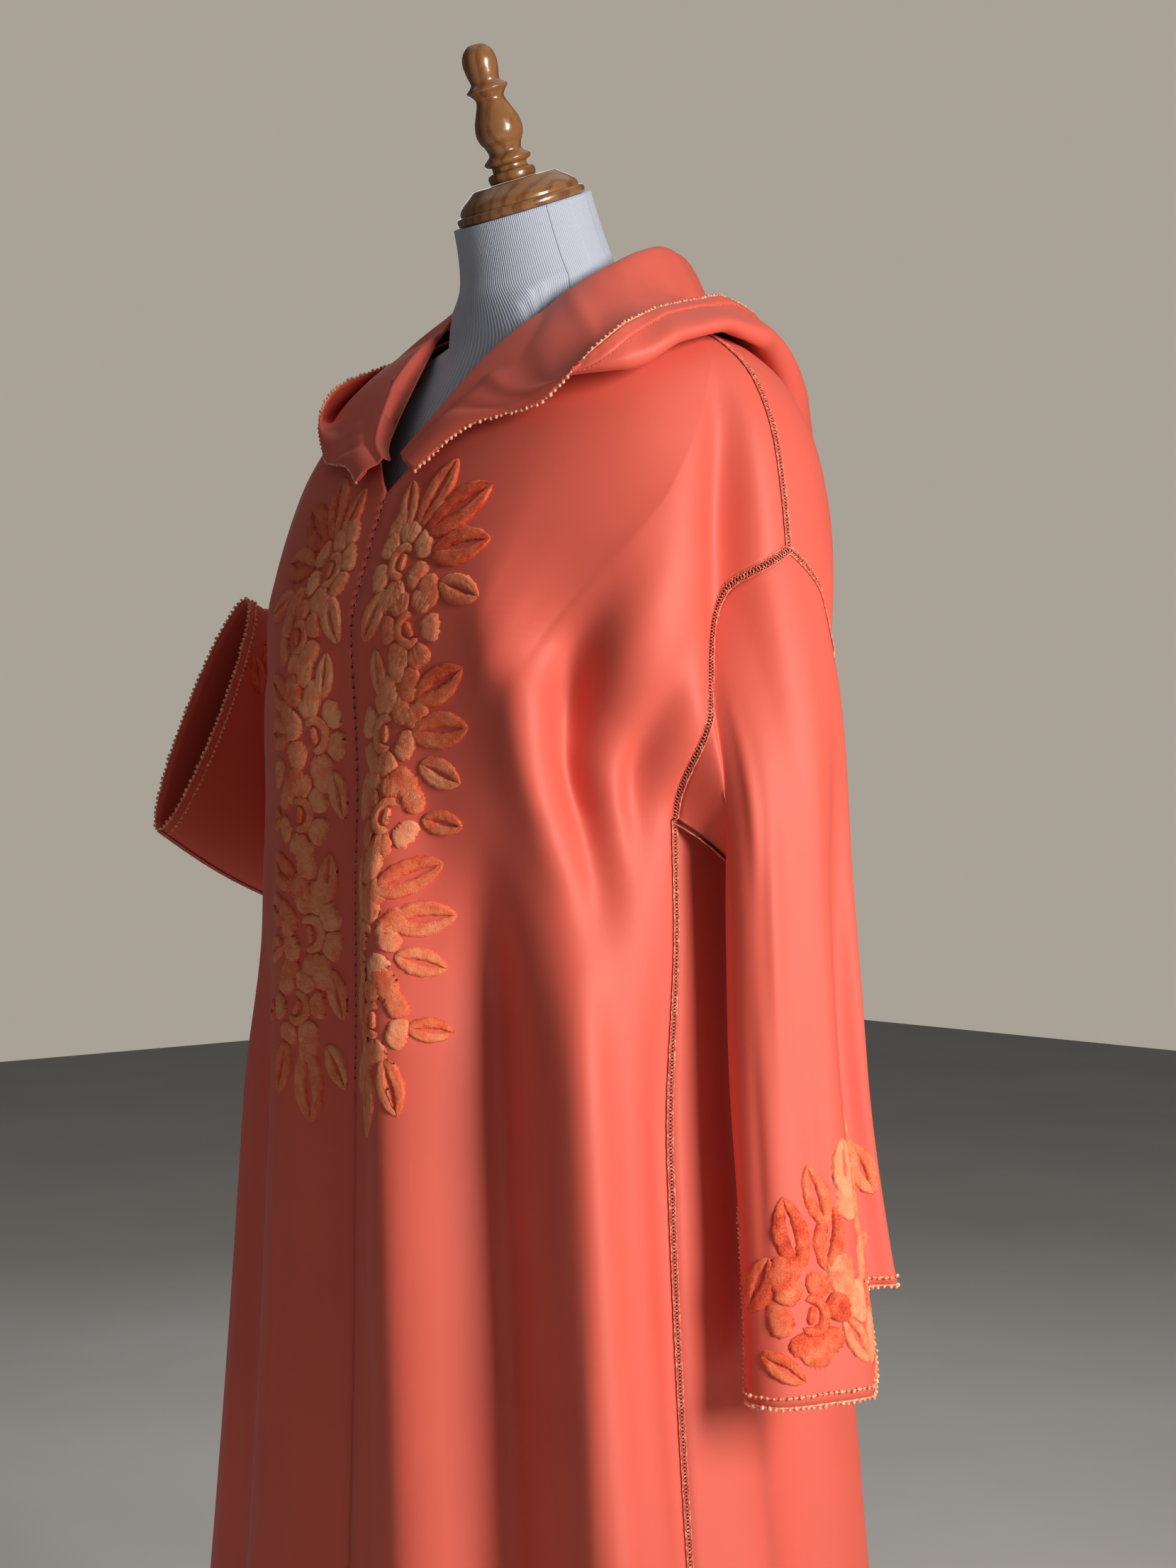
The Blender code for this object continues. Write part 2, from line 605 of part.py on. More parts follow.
def seam_pull(grid, top, sides):
    """The way from each seam point into its own piece, zero away from the seams."""
    pull = np.zeros_like(grid)
    pull[0] = (grid[1] - grid[0]) * np.asarray(top, float)[:, None]
    if sides:
        pull[:, 0] += grid[:, 1] - grid[:, 0]
        pull[:, -1] += grid[:, -2] - grid[:, -1]
    length = np.linalg.norm(pull, axis=-1, keepdims=True)
    return pull / np.where(length > 0, length, 1)


def robe_pieces():
    """Each sewn piece of the robe: its grid, whether it is a tube, and its seams."""
    from_neck = np.arange(COLUMNS + 1)
    shoulder = from_neck >= NECK_COLUMNS
    both = np.abs(np.arange(-COLUMNS, COLUMNS + 1)) >= NECK_COLUMNS
    back = np.concatenate([quarter(1, True)[:, ::-1], quarter(-1, True)[:, 1:]], axis=1)
    left_arm = np.roll(left_sleeve()[:, ::-1], 1, axis=1)
    right_arm = right_sleeve()
    ring = np.ones(left_arm.shape[1])
    return {
        "front_left": dict(grid=quarter(1, False), top=shoulder, tube=False),
        "front_right": dict(grid=quarter(-1, False)[:, ::-1], top=shoulder[::-1], tube=False),
        "back": dict(grid=back, top=both, tube=False),
        "sleeve_left": dict(grid=left_arm, top=ring, tube=True),
        "sleeve_right": dict(grid=right_arm, top=ring, tube=True),
    }


def piece_triangles(grid, tube):
    if not tube:
        return cell_triangles(*grid.shape[:2])
    rows, columns = grid.shape[:2]
    triangles = cell_triangles(rows, columns + 1)
    row, column = triangles // (columns + 1), triangles % (columns + 1)
    return row * columns + column % columns


def shared_normals(pieces):
    """Outward normals at each piece's points, the same on both sides of a seam."""
    start = 0
    points, triangles = [], []
    for piece in pieces.values():
        points.append(piece["grid"].reshape(-1, 3))
        triangles.append(piece_triangles(piece["grid"], piece["tube"]) + start)
        start += len(points[-1])
    points, triangles = np.concatenate(points), np.concatenate(triangles)
    places, owner = np.unique(np.round(points, 6), axis=0, return_inverse=True)
    owner = owner.ravel()
    a, b, c = (points[triangles[:, k]] for k in range(3))
    facing = np.cross(b - a, c - a)
    facing /= np.linalg.norm(facing, axis=1)[:, None] + 1e-12
    total = np.zeros_like(places)
    for k in range(3):
        np.add.at(total, owner[triangles[:, k]], facing)
    total /= np.linalg.norm(total, axis=1)[:, None]
    return total[owner], owner


def part_seams(pieces):
    """Move the pieces apart at their seams and give each its normals."""
    shared, owner = shared_normals(pieces)
    own = np.concatenate([shared_normals({name: piece})[0] for name, piece in pieces.items()])
    pulls = np.concatenate([
        seam_pull(piece["grid"], piece["top"], not piece["tube"]).reshape(-1, 3)
        for piece in pieces.values()
    ])
    total = np.zeros((owner.max() + 1, 3))
    count = np.zeros(owner.max() + 1)
    pulled = np.linalg.norm(pulls, axis=1) > 0
    np.add.at(total, owner[pulled], pulls[pulled])
    np.add.at(count, owner[pulled], 1)
    apart = np.where(pulled[:, None], pulls - total[owner] / np.maximum(count, 1)[owner, None], 0)
    length = np.linalg.norm(apart, axis=1, keepdims=True)
    apart = apart / np.where(length > 1e-6, length, 1) * SEAM_GAP / 2
    sunk = np.zeros(owner.max() + 1, bool)
    np.logical_or.at(sunk, owner, pulled & (((total[owner] - pulls) * own).sum(1) > 0.2))
    heights = np.concatenate([piece["grid"][..., 2].ravel() for piece in pieces.values()])
    valley = sunk[owner] & ((count[owner] < 3) | (heights < UNDERARM_HEIGHT + 0.01))
    normals = np.where(pulled[:, None] & ~valley[:, None], shared, own)
    start = 0
    for piece in pieces.values():
        rows, columns = piece["grid"].shape[:2]
        stop = start + rows * columns
        piece["normals"] = normals[start:stop].reshape(rows, columns, 3)
        piece["grid"] = piece["grid"] + apart[start:stop].reshape(rows, columns, 3)
        start = stop


def locate(points, flat, triangles):
    """Which flat triangle holds each point, and its shares of the three corners."""
    a, b, c = (flat[triangles[:, k]] for k in range(3))
    first, second = b - a, c - a
    area = first[:, 0] * second[:, 1] - first[:, 1] * second[:, 0]
    arm = points[:, None] - a[None]
    share_b = (arm[..., 0] * second[:, 1] - arm[..., 1] * second[:, 0]) / area
    share_c = (first[:, 0] * arm[..., 1] - first[:, 1] * arm[..., 0]) / area
    worst = np.minimum(np.minimum(share_b, share_c), 1 - share_b - share_c)
    holder = worst.argmax(1)
    pick = np.arange(len(points))
    share_b, share_c = share_b[pick, holder], share_c[pick, holder]
    return holder, np.stack([1 - share_b - share_c, share_b, share_c], -1)


def raised_surface(grid, normals, numbers, flat, outlines):
    """The points added to a grid, and the triangles over its flat region, flowers raised."""
    rows, columns = flat.shape[:2]
    places = flat.reshape(-1, 2)
    corner, below, opposite, beside = corner_numbers(rows, columns)
    pairs = ((corner, below), (below, opposite), (opposite, beside), (beside, corner),
             (corner, opposite))
    edges = np.sort(np.concatenate([np.stack(pair, -1) for pair in pairs]), axis=1)
    all_places, all_edges = [places], [np.unique(edges, axis=0)]
    start = len(places)
    for outline in outlines:
        for ring in (outline, drawn_in(outline, FLOWER_EDGE)):
            loop = start + np.arange(len(ring))
            all_places.append(ring)
            all_edges.append(np.stack([loop, np.roll(loop, -1)], -1))
            start += len(ring)
    coords = [Vector(place) for place in np.concatenate(all_places)]
    joins = [tuple(edge) for edge in np.concatenate(all_edges).tolist()]
    made, _, faces, sources, _, _ = delaunay_2d_cdt(coords, joins, [], 1, 1e-7)
    made = np.array([[place.x, place.y] for place in made])
    lift = np.zeros(len(made))
    for outline in outlines:
        lift = np.maximum(lift, np.clip(depth_inside(outline, made) / (0.5 * FLOWER_EDGE), 0, 1))
    triangles = cell_triangles(rows, columns)
    holder, shares = locate(made, places, triangles)
    corners = numbers.ravel()[triangles[holder]]
    outer, outer_normals = grid.reshape(-1, 3), normals.reshape(-1, 3)
    facing = (outer_normals[corners] * shares[..., None]).sum(1)
    facing /= np.linalg.norm(facing, axis=1)[:, None]
    points = (outer[corners] * shares[..., None]).sum(1)
    points = points + facing * lift[:, None] * FLOWER_RISE
    raised, extra = outer.copy(), []
    numbering = np.zeros(len(made), int)
    for k, source in enumerate(sources):
        on_grid = [number for number in source if number < len(places)]
        if on_grid:
            numbering[k] = numbers.ravel()[on_grid[0]]
            raised[numbering[k]] = points[k]
        else:
            numbering[k] = len(outer) + len(extra)
            extra.append(points[k])
    faces = np.array([list(face) for face in faces])
    a, b, c = (made[faces[:, k]] for k in range(3))
    turned = (b - a)[:, 0] * (c - a)[:, 1] - (b - a)[:, 1] * (c - a)[:, 0] < 0
    faces[turned] = faces[turned][:, ::-1]
    return np.concatenate([raised, np.array(extra)]), numbering[faces]


def border_edges(triangles):
    """The edges that only one triangle uses, in that triangle's order."""
    edges = np.concatenate([triangles[:, [0, 1]], triangles[:, [1, 2]], triangles[:, [2, 0]]])
    known = {tuple(edge) for edge in edges.tolist()}
    return np.array([edge for edge in edges.tolist() if (edge[1], edge[0]) not in known])


def wall(piece, outlines=()):
    """A closed wall under the piece's outer grid, its flowers raised on the outer side."""
    grid, normals = piece["grid"], piece["normals"]
    rows, columns = grid.shape[:2]
    plain = piece_triangles(grid, piece["tube"])
    outer, shown = grid.reshape(-1, 3), plain
    if len(outlines):
        numbers, flat = piece["region"], piece["flat"]
        outer, shown = raised_surface(grid, normals, numbers, flat, outlines)
        covered = {tuple(sorted(cell)) for cell in
                   numbers.ravel()[cell_triangles(*numbers.shape)].tolist()}
        rest = [cell for cell in plain.tolist() if tuple(sorted(cell)) not in covered]
        shown = np.concatenate([shown, np.array(rest)])
    inner = (grid - normals * CLOTH_THICKNESS).reshape(-1, 3)
    start = len(outer)
    rim = border_edges(shown)
    first, second = rim[:, 0], rim[:, 1]
    sides = np.concatenate([
        np.stack([second, first, first + start], -1),
        np.stack([second, first + start, second + start], -1),
    ])
    points = np.concatenate([outer, inner])
    return points, np.concatenate([shown, plain[:, ::-1] + start, sides])


def make_material(name, colour, roughness, metallic=0.0):
    material = bpy.data.materials.new(name)
    material.use_nodes = True
    shader = material.node_tree.nodes["Principled BSDF"]
    shader.inputs["Base Color"].default_value = (*colour, 1)
    shader.inputs["Roughness"].default_value = roughness
    shader.inputs["Metallic"].default_value = metallic
    return material


def make_object(name, points, triangles, material):
    mesh = bpy.data.meshes.new(name)
    mesh.from_pydata([tuple(point) for point in points.tolist()], [],
                     [tuple(triangle) for triangle in triangles.tolist()])
    mesh.materials.append(material)
    for polygon in mesh.polygons:
        polygon.use_smooth = True
    piece = bpy.data.objects.new(name, mesh)
    bpy.context.scene.collection.objects.link(piece)
    return piece


def ring_body(rings):
    """A closed body through rings of points that turn the same way, from the lowest up."""
    rings = np.array(rings)
    count, around = rings.shape[:2]
    points = rings.reshape(-1, 3)
    row, column = np.mgrid[0:count - 1, 0:around]
    a = (row * around + column).ravel()
    b = (row * around + (column + 1) % around).ravel()
    sides = np.concatenate([
        np.stack([a, b, b + around], -1),
        np.stack([a, b + around, a + around], -1),
    ])
    foot, head = len(points), len(points) + 1
    column = np.arange(around)
    beside = (column + 1) % around
    top = (count - 1) * around
    caps = np.concatenate([
        np.stack([beside, column, np.full(around, foot)], -1),
        np.stack([column + top, beside + top, np.full(around, head)], -1),
    ])
    points = np.concatenate([points, rings[0].mean(0)[None], rings[-1].mean(0)[None]])
    return points, np.concatenate([sides, caps])


# The dress form: its sections from the bottom up, clear of the robe but for the shoulders
FORM = table(
    "height half_width ridge_y front back",
    (0.720, 0.140, 0.008, 0.098, 0.105),
    (0.740, 0.150, 0.008, 0.104, 0.112),
    (0.830, 0.168, 0.008, 0.110, 0.120),
    (0.930, 0.150, 0.004, 0.102, 0.100),
    (1.030, 0.122, 0.000, 0.090, 0.082),
    (1.110, 0.136, 0.000, 0.108, 0.090),
    (1.190, 0.152, 0.000, 0.142, 0.104),
    (1.270, 0.168, 0.004, 0.122, 0.106),
    (1.320, 0.180, 0.008, 0.102, 0.100),
)
FORM_AROUND = 32
FORM_ROUNDNESS = 2.15
FORM_TIP = 0.150
SHOULDER_GAP = 0.0011
FORM_GAP = 0.0070
NECK_RADIUS = 0.0525
NECK_ROOT_RADIUS = 0.0640
NECK_TOP = (0.0, -0.023, 1.506)
NECK_LEAN = math.radians(22)
CAP_GAP = 0.0004


def form_ring(half_width, ridge_y, front, back, height, sharpness):
    turn = 2 * np.pi * np.arange(FORM_AROUND) / FORM_AROUND
    across = np.sign(np.cos(turn)) * np.abs(np.cos(turn)) ** (2 / sharpness)
    ahead = np.sign(np.sin(turn)) * np.abs(np.sin(turn)) ** (2 / sharpness)
    depth = np.where(ahead < 0, front, back)
    return np.stack([half_width * across, ridge_y + depth * ahead, height + 0 * turn], -1)


def form_body(ridge, tree):
    """The torso's rings, its shoulders under the robe's ridge, and its leaning neck."""
    rings = [form_ring(*(FORM[name][k] for name in
                         ("half_width", "ridge_y", "front", "back", "height")), FORM_ROUNDNESS)
             for k in range(len(FORM["height"]))]
    for wide, ridge_y, height in ridge[::-1]:
        if height > FORM["height"][-1] + 0.015:
            front, back = (through(SHOULDERS["height"], SHOULDERS[name], height)
                           for name in ("front", "back"))
            sharpness = through([1.34, 1.375, 1.405, 1.42, 1.43], [1.9, 1.7, 1.4, 1.3, 2.0],
                                height)
            rings.append(form_ring(min(wide, FORM_TIP), ridge_y, max(front - 0.020, 0.060),
                                   max(back - 0.018, 0.058), height, sharpness))
    turn = 2 * np.pi * np.arange(FORM_AROUND) / FORM_AROUND
    for share, radius in ((0.0, NECK_ROOT_RADIUS), (0.3, 0.0590), (0.65, 0.0545),
                          (1.0, NECK_RADIUS)):
        tilt = NECK_LEAN * share
        middle = np.array([0, 0.003, 1.438]) * (1 - share) + np.array(NECK_TOP) * share
        rings.append(np.stack([
            middle[0] + radius * np.cos(turn),
            middle[1] + radius * np.sin(turn) * math.cos(tilt),
            middle[2] + radius * np.sin(turn) * math.sin(tilt),
        ], -1))
    for ring in rings[len(FORM["height"]) - 2:-4]:
        for k, point in enumerate(ring):
            depth = CLOTH_THICKNESS + (SHOULDER_GAP if k % (FORM_AROUND // 2) == 0 else FORM_GAP)
            height, facing, distance = height_over(tree, point)
            if height > -depth and distance < 0.015:
                point -= facing * (height + depth)
    return ring_body(rings)


# The turned cap and finial: distance up the neck's axis and radius, in millimetres
CAP_PROFILE = (
    (0.0, 47.0), (1.0, 48.4), (5.4, 48.4), (6.4, 47.2), (7.0, 45.2), (8.2, 45.2),
    (11.0, 44.2), (14.5, 41.0), (18.0, 36.4), (20.5, 33.0), (21.8, 31.0), (22.2, 17.4),
)
FINIAL_PROFILE = (
    (22.6, 16.6), (24.0, 17.6), (26.8, 17.9), (29.4, 16.8), (31.0, 13.4), (33.2, 13.0),
    (35.2, 16.6), (37.6, 17.7), (39.8, 16.0), (43.5, 12.3), (48.0, 13.6), (53.0, 16.4),
    (58.6, 17.6), (65.0, 16.8), (72.0, 14.2), (78.0, 11.6), (81.9, 10.6), (85.4, 12.6),
    (89.0, 15.6), (92.0, 12.8), (94.5, 10.8), (100.0, 11.9), (108.0, 12.8), (114.0, 11.6),
    (118.5, 8.6), (121.0, 4.4),
)
TURNED_AROUND = 20


def turned_body(profile, count=TURNED_AROUND):
    """A body turned about the neck's leaning axis."""
    along = Vector((0, -math.sin(NECK_LEAN), math.cos(NECK_LEAN)))
    up = Vector((0, math.cos(NECK_LEAN), math.sin(NECK_LEAN)))
    middle = Vector(NECK_TOP) + along * CAP_GAP
    rings = []
    for distance, radius in profile:
        ring = []
        for k in range(count):
            turn = 2 * math.pi * k / count
            ring.append(middle + along * (distance / 1000)
                        + (Vector((1, 0, 0)) * math.cos(turn) + up * math.sin(turn))
                        * (radius / 1000))
        rings.append(np.array(ring))
    return ring_body(rings)


def upright_body(profile, count):
    """A body turned about the upright axis from rows of height and radius."""
    turn = 2 * np.pi * np.arange(count) / count
    rings = [np.stack([radius * np.cos(turn), radius * np.sin(turn), height + 0 * turn], -1)
             for height, radius in profile]
    return ring_body(rings)


BASE_PROFILE = ((0.0, 0.166), (0.002, 0.169), (0.012, 0.170), (0.018, 0.167), (0.022, 0.158))
POST_PROFILE = ((0.0224, 0.024), (0.034, 0.024), (0.038, 0.014), (0.7196, 0.014))


def build():
    coral = (0.62, 0.13, 0.10)
    satin = make_material("coral_satin", coral, 0.42)
    jersey = make_material("pale_jersey", (0.50, 0.55, 0.66), 0.85)
    wood = make_material("honey_wood", (0.28, 0.12, 0.035), 0.35)
    steel = make_material("grey_steel", (0.30, 0.30, 0.31), 0.4, 0.8)
    pieces = robe_pieces()
    loose = panel_tree(pieces)
    for name in ("sleeve_left", "sleeve_right"):
        keep_off(pieces[name]["grid"], loose)
    part_seams(pieces)
    numbers = np.arange((UPPER_ROWS + LOWER_ROWS + 1) * (COLUMNS + 1)).reshape(-1, COLUMNS + 1)
    left_front, right_front = pieces["front_left"], pieces["front_right"]
    left_front["region"] = numbers[:FLOWER_ROWS, :FLOWER_COLUMNS]
    left_front["flat"] = front_flat(left_front["grid"])[:FLOWER_ROWS, :FLOWER_COLUMNS]
    right_front["region"] = numbers[:FLOWER_ROWS, -FLOWER_COLUMNS:]
    flat = front_flat(right_front["grid"][:, ::-1])[:, ::-1] * (-1, 1)
    right_front["flat"] = flat[:FLOWER_ROWS, -FLOWER_COLUMNS:]
    for name in ("sleeve_left", "sleeve_right"):
        grid = pieces[name]["grid"]
        numbers = np.arange(grid.shape[0] * grid.shape[1]).reshape(grid.shape[:2])
        pieces[name]["region"] = opened(numbers)[-FLOWER_CUFF_ROWS:]
        pieces[name]["flat"] = sleeve_flat(opened(grid))[-FLOWER_CUFF_ROWS:]
    flowers = {
        "front_left": front_motifs(),
        "front_right": [outline * (-1, 1) for outline in front_motifs()],
        "back": [],
        "sleeve_left": [outline * (-1, 1) for outline in cuff_motifs()],
        "sleeve_right": cuff_motifs(),
    }
    for name, piece in pieces.items():
        points, triangles = wall(piece, flowers[name])
        make_object(name, points, triangles, satin)
    tree = panel_tree(pieces)
    hood = dict(grid=hood_grid(tree), tube=False)
    hood["normals"] = shared_normals({"hood": hood})[0].reshape(hood["grid"].shape)
    points, triangles = wall(hood)
    make_object("hood", points, triangles, satin)
    shoulder = (0, slice(NECK_COLUMNS, None))
    ridge = (left_front["grid"] - left_front["normals"] * (CLOTH_THICKNESS + SHOULDER_GAP))
    make_object("dress_form", *form_body(ridge[shoulder], tree), jersey)
    make_object("neck_cap", *turned_body(CAP_PROFILE, 28), wood)
    make_object("finial", *turned_body(FINIAL_PROFILE), wood)
    make_object("post", *upright_body(POST_PROFILE, 16), steel)
    make_object("base", *upright_body(BASE_PROFILE, 40), wood)


for thing in list(bpy.data.objects):
    bpy.data.objects.remove(thing, do_unlink=True)
build()
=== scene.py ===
import math
import random

import bmesh
import bpy
import numpy as np
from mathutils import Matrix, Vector
from mathutils.bvhtree import BVHTree


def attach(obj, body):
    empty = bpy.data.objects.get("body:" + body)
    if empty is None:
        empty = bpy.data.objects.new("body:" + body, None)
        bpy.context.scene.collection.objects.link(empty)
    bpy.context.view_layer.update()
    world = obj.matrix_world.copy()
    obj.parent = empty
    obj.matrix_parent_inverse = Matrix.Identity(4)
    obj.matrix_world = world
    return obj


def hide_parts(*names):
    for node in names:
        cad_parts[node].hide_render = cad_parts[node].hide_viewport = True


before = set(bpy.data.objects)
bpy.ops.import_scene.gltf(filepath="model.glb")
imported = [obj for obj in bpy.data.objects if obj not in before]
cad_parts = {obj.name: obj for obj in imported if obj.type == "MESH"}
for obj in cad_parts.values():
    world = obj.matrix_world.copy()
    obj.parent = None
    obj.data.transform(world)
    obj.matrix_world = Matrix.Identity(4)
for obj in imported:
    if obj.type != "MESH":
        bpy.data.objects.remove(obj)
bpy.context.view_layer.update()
bpy.ops.object.select_all(action="DESELECT")
chance = random.Random(11)

# Camera: at the robe's front left, level with the waist
camera = {"turn": 48.0, "distance": 1.737, "aside": 0.0313, "height": 1.084, "lens": 53.7}
turnSin, turnCos = math.sin(math.radians(camera["turn"])), math.cos(math.radians(camera["turn"]))
bpy.ops.object.camera_add(
    location=(camera["distance"] * turnSin + camera["aside"] * turnCos,
              -camera["distance"] * turnCos + camera["aside"] * turnSin, camera["height"]),
    rotation=(math.radians(90), 0, math.radians(camera["turn"])))
viewer = bpy.context.object
viewer.name = "viewer"
viewer.data.sensor_fit = "VERTICAL"
viewer.data.sensor_height = 36.0
viewer.data.lens = camera["lens"]
bpy.context.scene.camera = viewer
print("camera placed")

# Studio: pale floor, a soft strong light at the robe's left, a weak fill in front
studio = {"floorSize": 14.0, "floorColour": (0.62, 0.61, 0.59), "airColour": (0.93, 0.89, 0.83),
          "air": 0.08, "backdrop": (0.40, 0.36, 0.31)}
softLights = (
    dict(name="keyLight", spot=(2.28, 0.02, 1.62), aim=(0.02, -0.02, 1.05), size=(0.7, 1.2), power=64.0,
         tint=(1.0, 0.955, 0.90)),
    dict(name="fillLight", spot=(0.2, -3.2, 1.9), aim=(0.0, 0.0, 1.0), size=(2.2, 2.2), power=2.5,
         tint=(0.95, 0.97, 1.0)),
    dict(name="topLight", spot=(-0.4, 0.6, 4.2), aim=(0.0, 0.6, 0.0), size=(4.0, 4.0), power=22.0,
         tint=(1.0, 0.98, 0.95)),
    dict(name="rimLight", spot=(-2.4, 1.8, 2.2), aim=(0.0, 0.0, 1.2), size=(1.2, 1.6), power=9.0,
         tint=(0.95, 0.97, 1.0)),
)


def aimAt(thing, target):
    thing.rotation_euler = (Vector(target) - thing.location).to_track_quat("-Z", "Y").to_euler()


for light in softLights:
    bpy.ops.object.light_add(type="AREA", location=light["spot"])
    lamp = bpy.context.object
    lamp.name = light["name"]
    lamp.data.shape = "RECTANGLE"
    lamp.data.size, lamp.data.size_y = light["size"]
    lamp.data.energy = light["power"]
    lamp.data.color = light["tint"]
    aimAt(lamp, light["aim"])

air = bpy.data.worlds.new("studioAir")
bpy.context.scene.world = air
air.use_nodes = True
airNodes = air.node_tree.nodes
ambient, seen = airNodes["Background"], airNodes.new("ShaderNodeBackground")
ambient.inputs["Color"].default_value = (*studio["airColour"], 1)
ambient.inputs["Strength"].default_value = studio["air"]
seen.inputs["Color"].default_value = (*studio["backdrop"], 1)
chosen, rays = airNodes.new("ShaderNodeMixShader"), airNodes.new("ShaderNodeLightPath")
for source, socket in ((rays.outputs["Is Camera Ray"], chosen.inputs[0]), (ambient.outputs[0], chosen.inputs[1]),
                       (seen.outputs[0], chosen.inputs[2]),
                       (chosen.outputs[0], airNodes["World Output"].inputs["Surface"])):
    air.node_tree.links.new(source, socket)
bpy.context.scene.view_settings.view_transform = "Standard"


# Materials: small node helpers, then one function for each finish
def newMaterial(name, colour, roughness, **sockets):
    made = bpy.data.materials.new(name)
    made.use_nodes = True
    shader = made.node_tree.nodes["Principled BSDF"]
    shader.inputs["Base Color"].default_value = (*colour, 1)
    shader.inputs["Roughness"].default_value = roughness
    for socket, value in sockets.items():
        shader.inputs[socket.replace("_", " ")].default_value = value
    return made, made.node_tree, shader


def addNode(tree, kind, links=(), **values):
    node = tree.nodes.new(kind)
    for name, value in values.items():
        if name in node.inputs:
            node.inputs[name].default_value = value
        else:
            setattr(node, name, value)
    for output, socket in links:
        tree.links.new(output, node.inputs[socket])
    return node


def objectCoords(tree):
    return addNode(tree, "ShaderNodeTexCoord").outputs["Object"]


def mapped(tree, output, scale, tilt=0.0):
    coords = addNode(tree, "ShaderNodeTexCoord").outputs[output]
    return addNode(tree, "ShaderNodeMapping", [(coords, "Vector")], Scale=scale,
                   Rotation=(math.radians(tilt), 0, 0)).outputs["Vector"]


def noiseOn(tree, coords, scale, detail=2.0, roughness=0.5):
    return addNode(tree, "ShaderNodeTexNoise", [(coords, "Vector")], Scale=scale, Detail=detail,
                   Roughness=roughness).outputs["Fac"]


def waveOn(tree, coords, scale, distortion, detail):
    return addNode(tree, "ShaderNodeTexWave", [(coords, "Vector")], wave_type="BANDS", bands_direction="X",
                   Scale=scale, Distortion=distortion, Detail=detail).outputs["Fac"]


def addUp(tree, first, second):
    return addNode(tree, "ShaderNodeMath", [(first, 0), (second, 1)], operation="ADD").outputs[0]


def paint(tree, shader, value, *stops):  # a colour ramp on a value, as the base colour
    ramp = addNode(tree, "ShaderNodeValToRGB", [(value, "Fac")])
    tree.links.new(ramp.outputs["Color"], shader.inputs["Base Color"])
    elements = ramp.color_ramp.elements
    elements[0].position, elements[0].color = stops[0][0], (*stops[0][1], 1)
    elements[1].position, elements[1].color = stops[-1][0], (*stops[-1][1], 1)
    for place, colour in stops[1:-1]:
        elements.new(place).color = (*colour, 1)


def bumpOn(tree, shader, value, strength, depth, under=None):
    node = addNode(tree, "ShaderNodeBump", [(value, "Height")] + ([(under, "Normal")] if under else []),
                   Strength=strength, Distance=depth)
    tree.links.new(node.outputs["Normal"], shader.inputs["Normal"])
    return node.outputs["Normal"]


def satinCrepe():
    made, tree, shader = newMaterial("satinCrepe", (0.72, 0.105, 0.066), 0.60, Sheen_Weight=0.10,
                                     Sheen_Roughness=0.38, Sheen_Tint=(1.0, 0.62, 0.52, 1))
    paint(tree, shader, noiseOn(tree, objectCoords(tree), 7.0, 3.0),
          (0.32, (0.68, 0.104, 0.068)), (0.68, (0.73, 0.116, 0.077)))
    grain = noiseOn(tree, mapped(tree, "UV", (900, 2300, 1)), 1.0, 3.0, 0.7)
    slub = noiseOn(tree, mapped(tree, "UV", (9, 26, 1)), 1.0, 3.0, 0.55)
    bumpOn(tree, shader, slub, 0.30, 0.0012, bumpOn(tree, shader, grain, 0.16, 0.00012))
    return made


def velvetPile():  # each stroke's own tone, darker towards its edges as painted shade, clouded by patches and by the tufts
    made, tree, shader = newMaterial("velvetPile", (0.55, 0.16, 0.06), 0.78, Sheen_Weight=0.6,
                                     Sheen_Roughness=0.32, Sheen_Tint=(1.0, 0.55, 0.34, 1))
    coords = objectCoords(tree)
    tone = addNode(tree, "ShaderNodeAttribute", attribute_name="tone").outputs["Fac"]
    patch, tuft = noiseOn(tree, coords, 120.0, 3.0, 0.65), noiseOn(tree, coords, 900.0, 3.0, 0.8)
    clouded = addUp(tree, addUp(tree, tone, patch), tuft)
    half = addNode(tree, "ShaderNodeMath", [(clouded, 0)], operation="MULTIPLY")
    half.inputs[1].default_value = 0.5
    paint(tree, shader, half.outputs[0], (0.44, (0.46, 0.020, 0.006)), (0.56, (0.76, 0.075, 0.018)),
          (0.70, (0.82, 0.170, 0.070)), (0.94, (0.95, 0.370, 0.185)))
    bumpOn(tree, shader, patch, 0.6, 0.0010, bumpOn(tree, shader, tuft, 0.9, 0.0007))
    return made


# The palest stop, reached only by the noise's high flecks, is painted glints on the thread
def threadWithPaintedGlints(name, *stops):
    made, tree, shader = newMaterial(name, stops[1][1], 0.45, Sheen_Weight=0.2)
    coords = objectCoords(tree)
    paint(tree, shader, noiseOn(tree, coords, 420.0, 1.0), *stops)
    bumpOn(tree, shader, noiseOn(tree, coords, 2600.0, 1.0), 0.5, 0.0002)
    return made


# Painted shade: a near-black coral for the shade seen through the braids' openwork, the centre holes and the
# hood's seam grooves
def paintedShadeGap():
    made, tree, shader = newMaterial("paintedShadeGap", (0.11, 0.012, 0.008), 0.9)
    paint(tree, shader, noiseOn(tree, objectCoords(tree), 700.0),
          (0.3, (0.07, 0.007, 0.005)), (0.7, (0.15, 0.018, 0.011)))
    return made


def ribbedJersey():
    made, tree, shader = newMaterial("ribbedJersey", (0.50, 0.55, 0.66), 0.85, Sheen_Weight=0.25)
    ribAndGrooveShade = waveOn(tree, mapped(tree, "UV", (1, 1, 1)), 190.0, 0.6, 1.0)
    # the rib wave also sets the colour: grooves darker than the rib tops, painted shade
    paint(tree, shader, ribAndGrooveShade, (0.1, (0.40, 0.45, 0.56)), (0.9, (0.53, 0.58, 0.69)))
    loops = noiseOn(tree, mapped(tree, "UV", (1500, 900, 1)), 1.0)
    bumpOn(tree, shader, loops, 0.3, 0.0002, bumpOn(tree, shader, ribAndGrooveShade, 0.55, 0.0005))
    return made


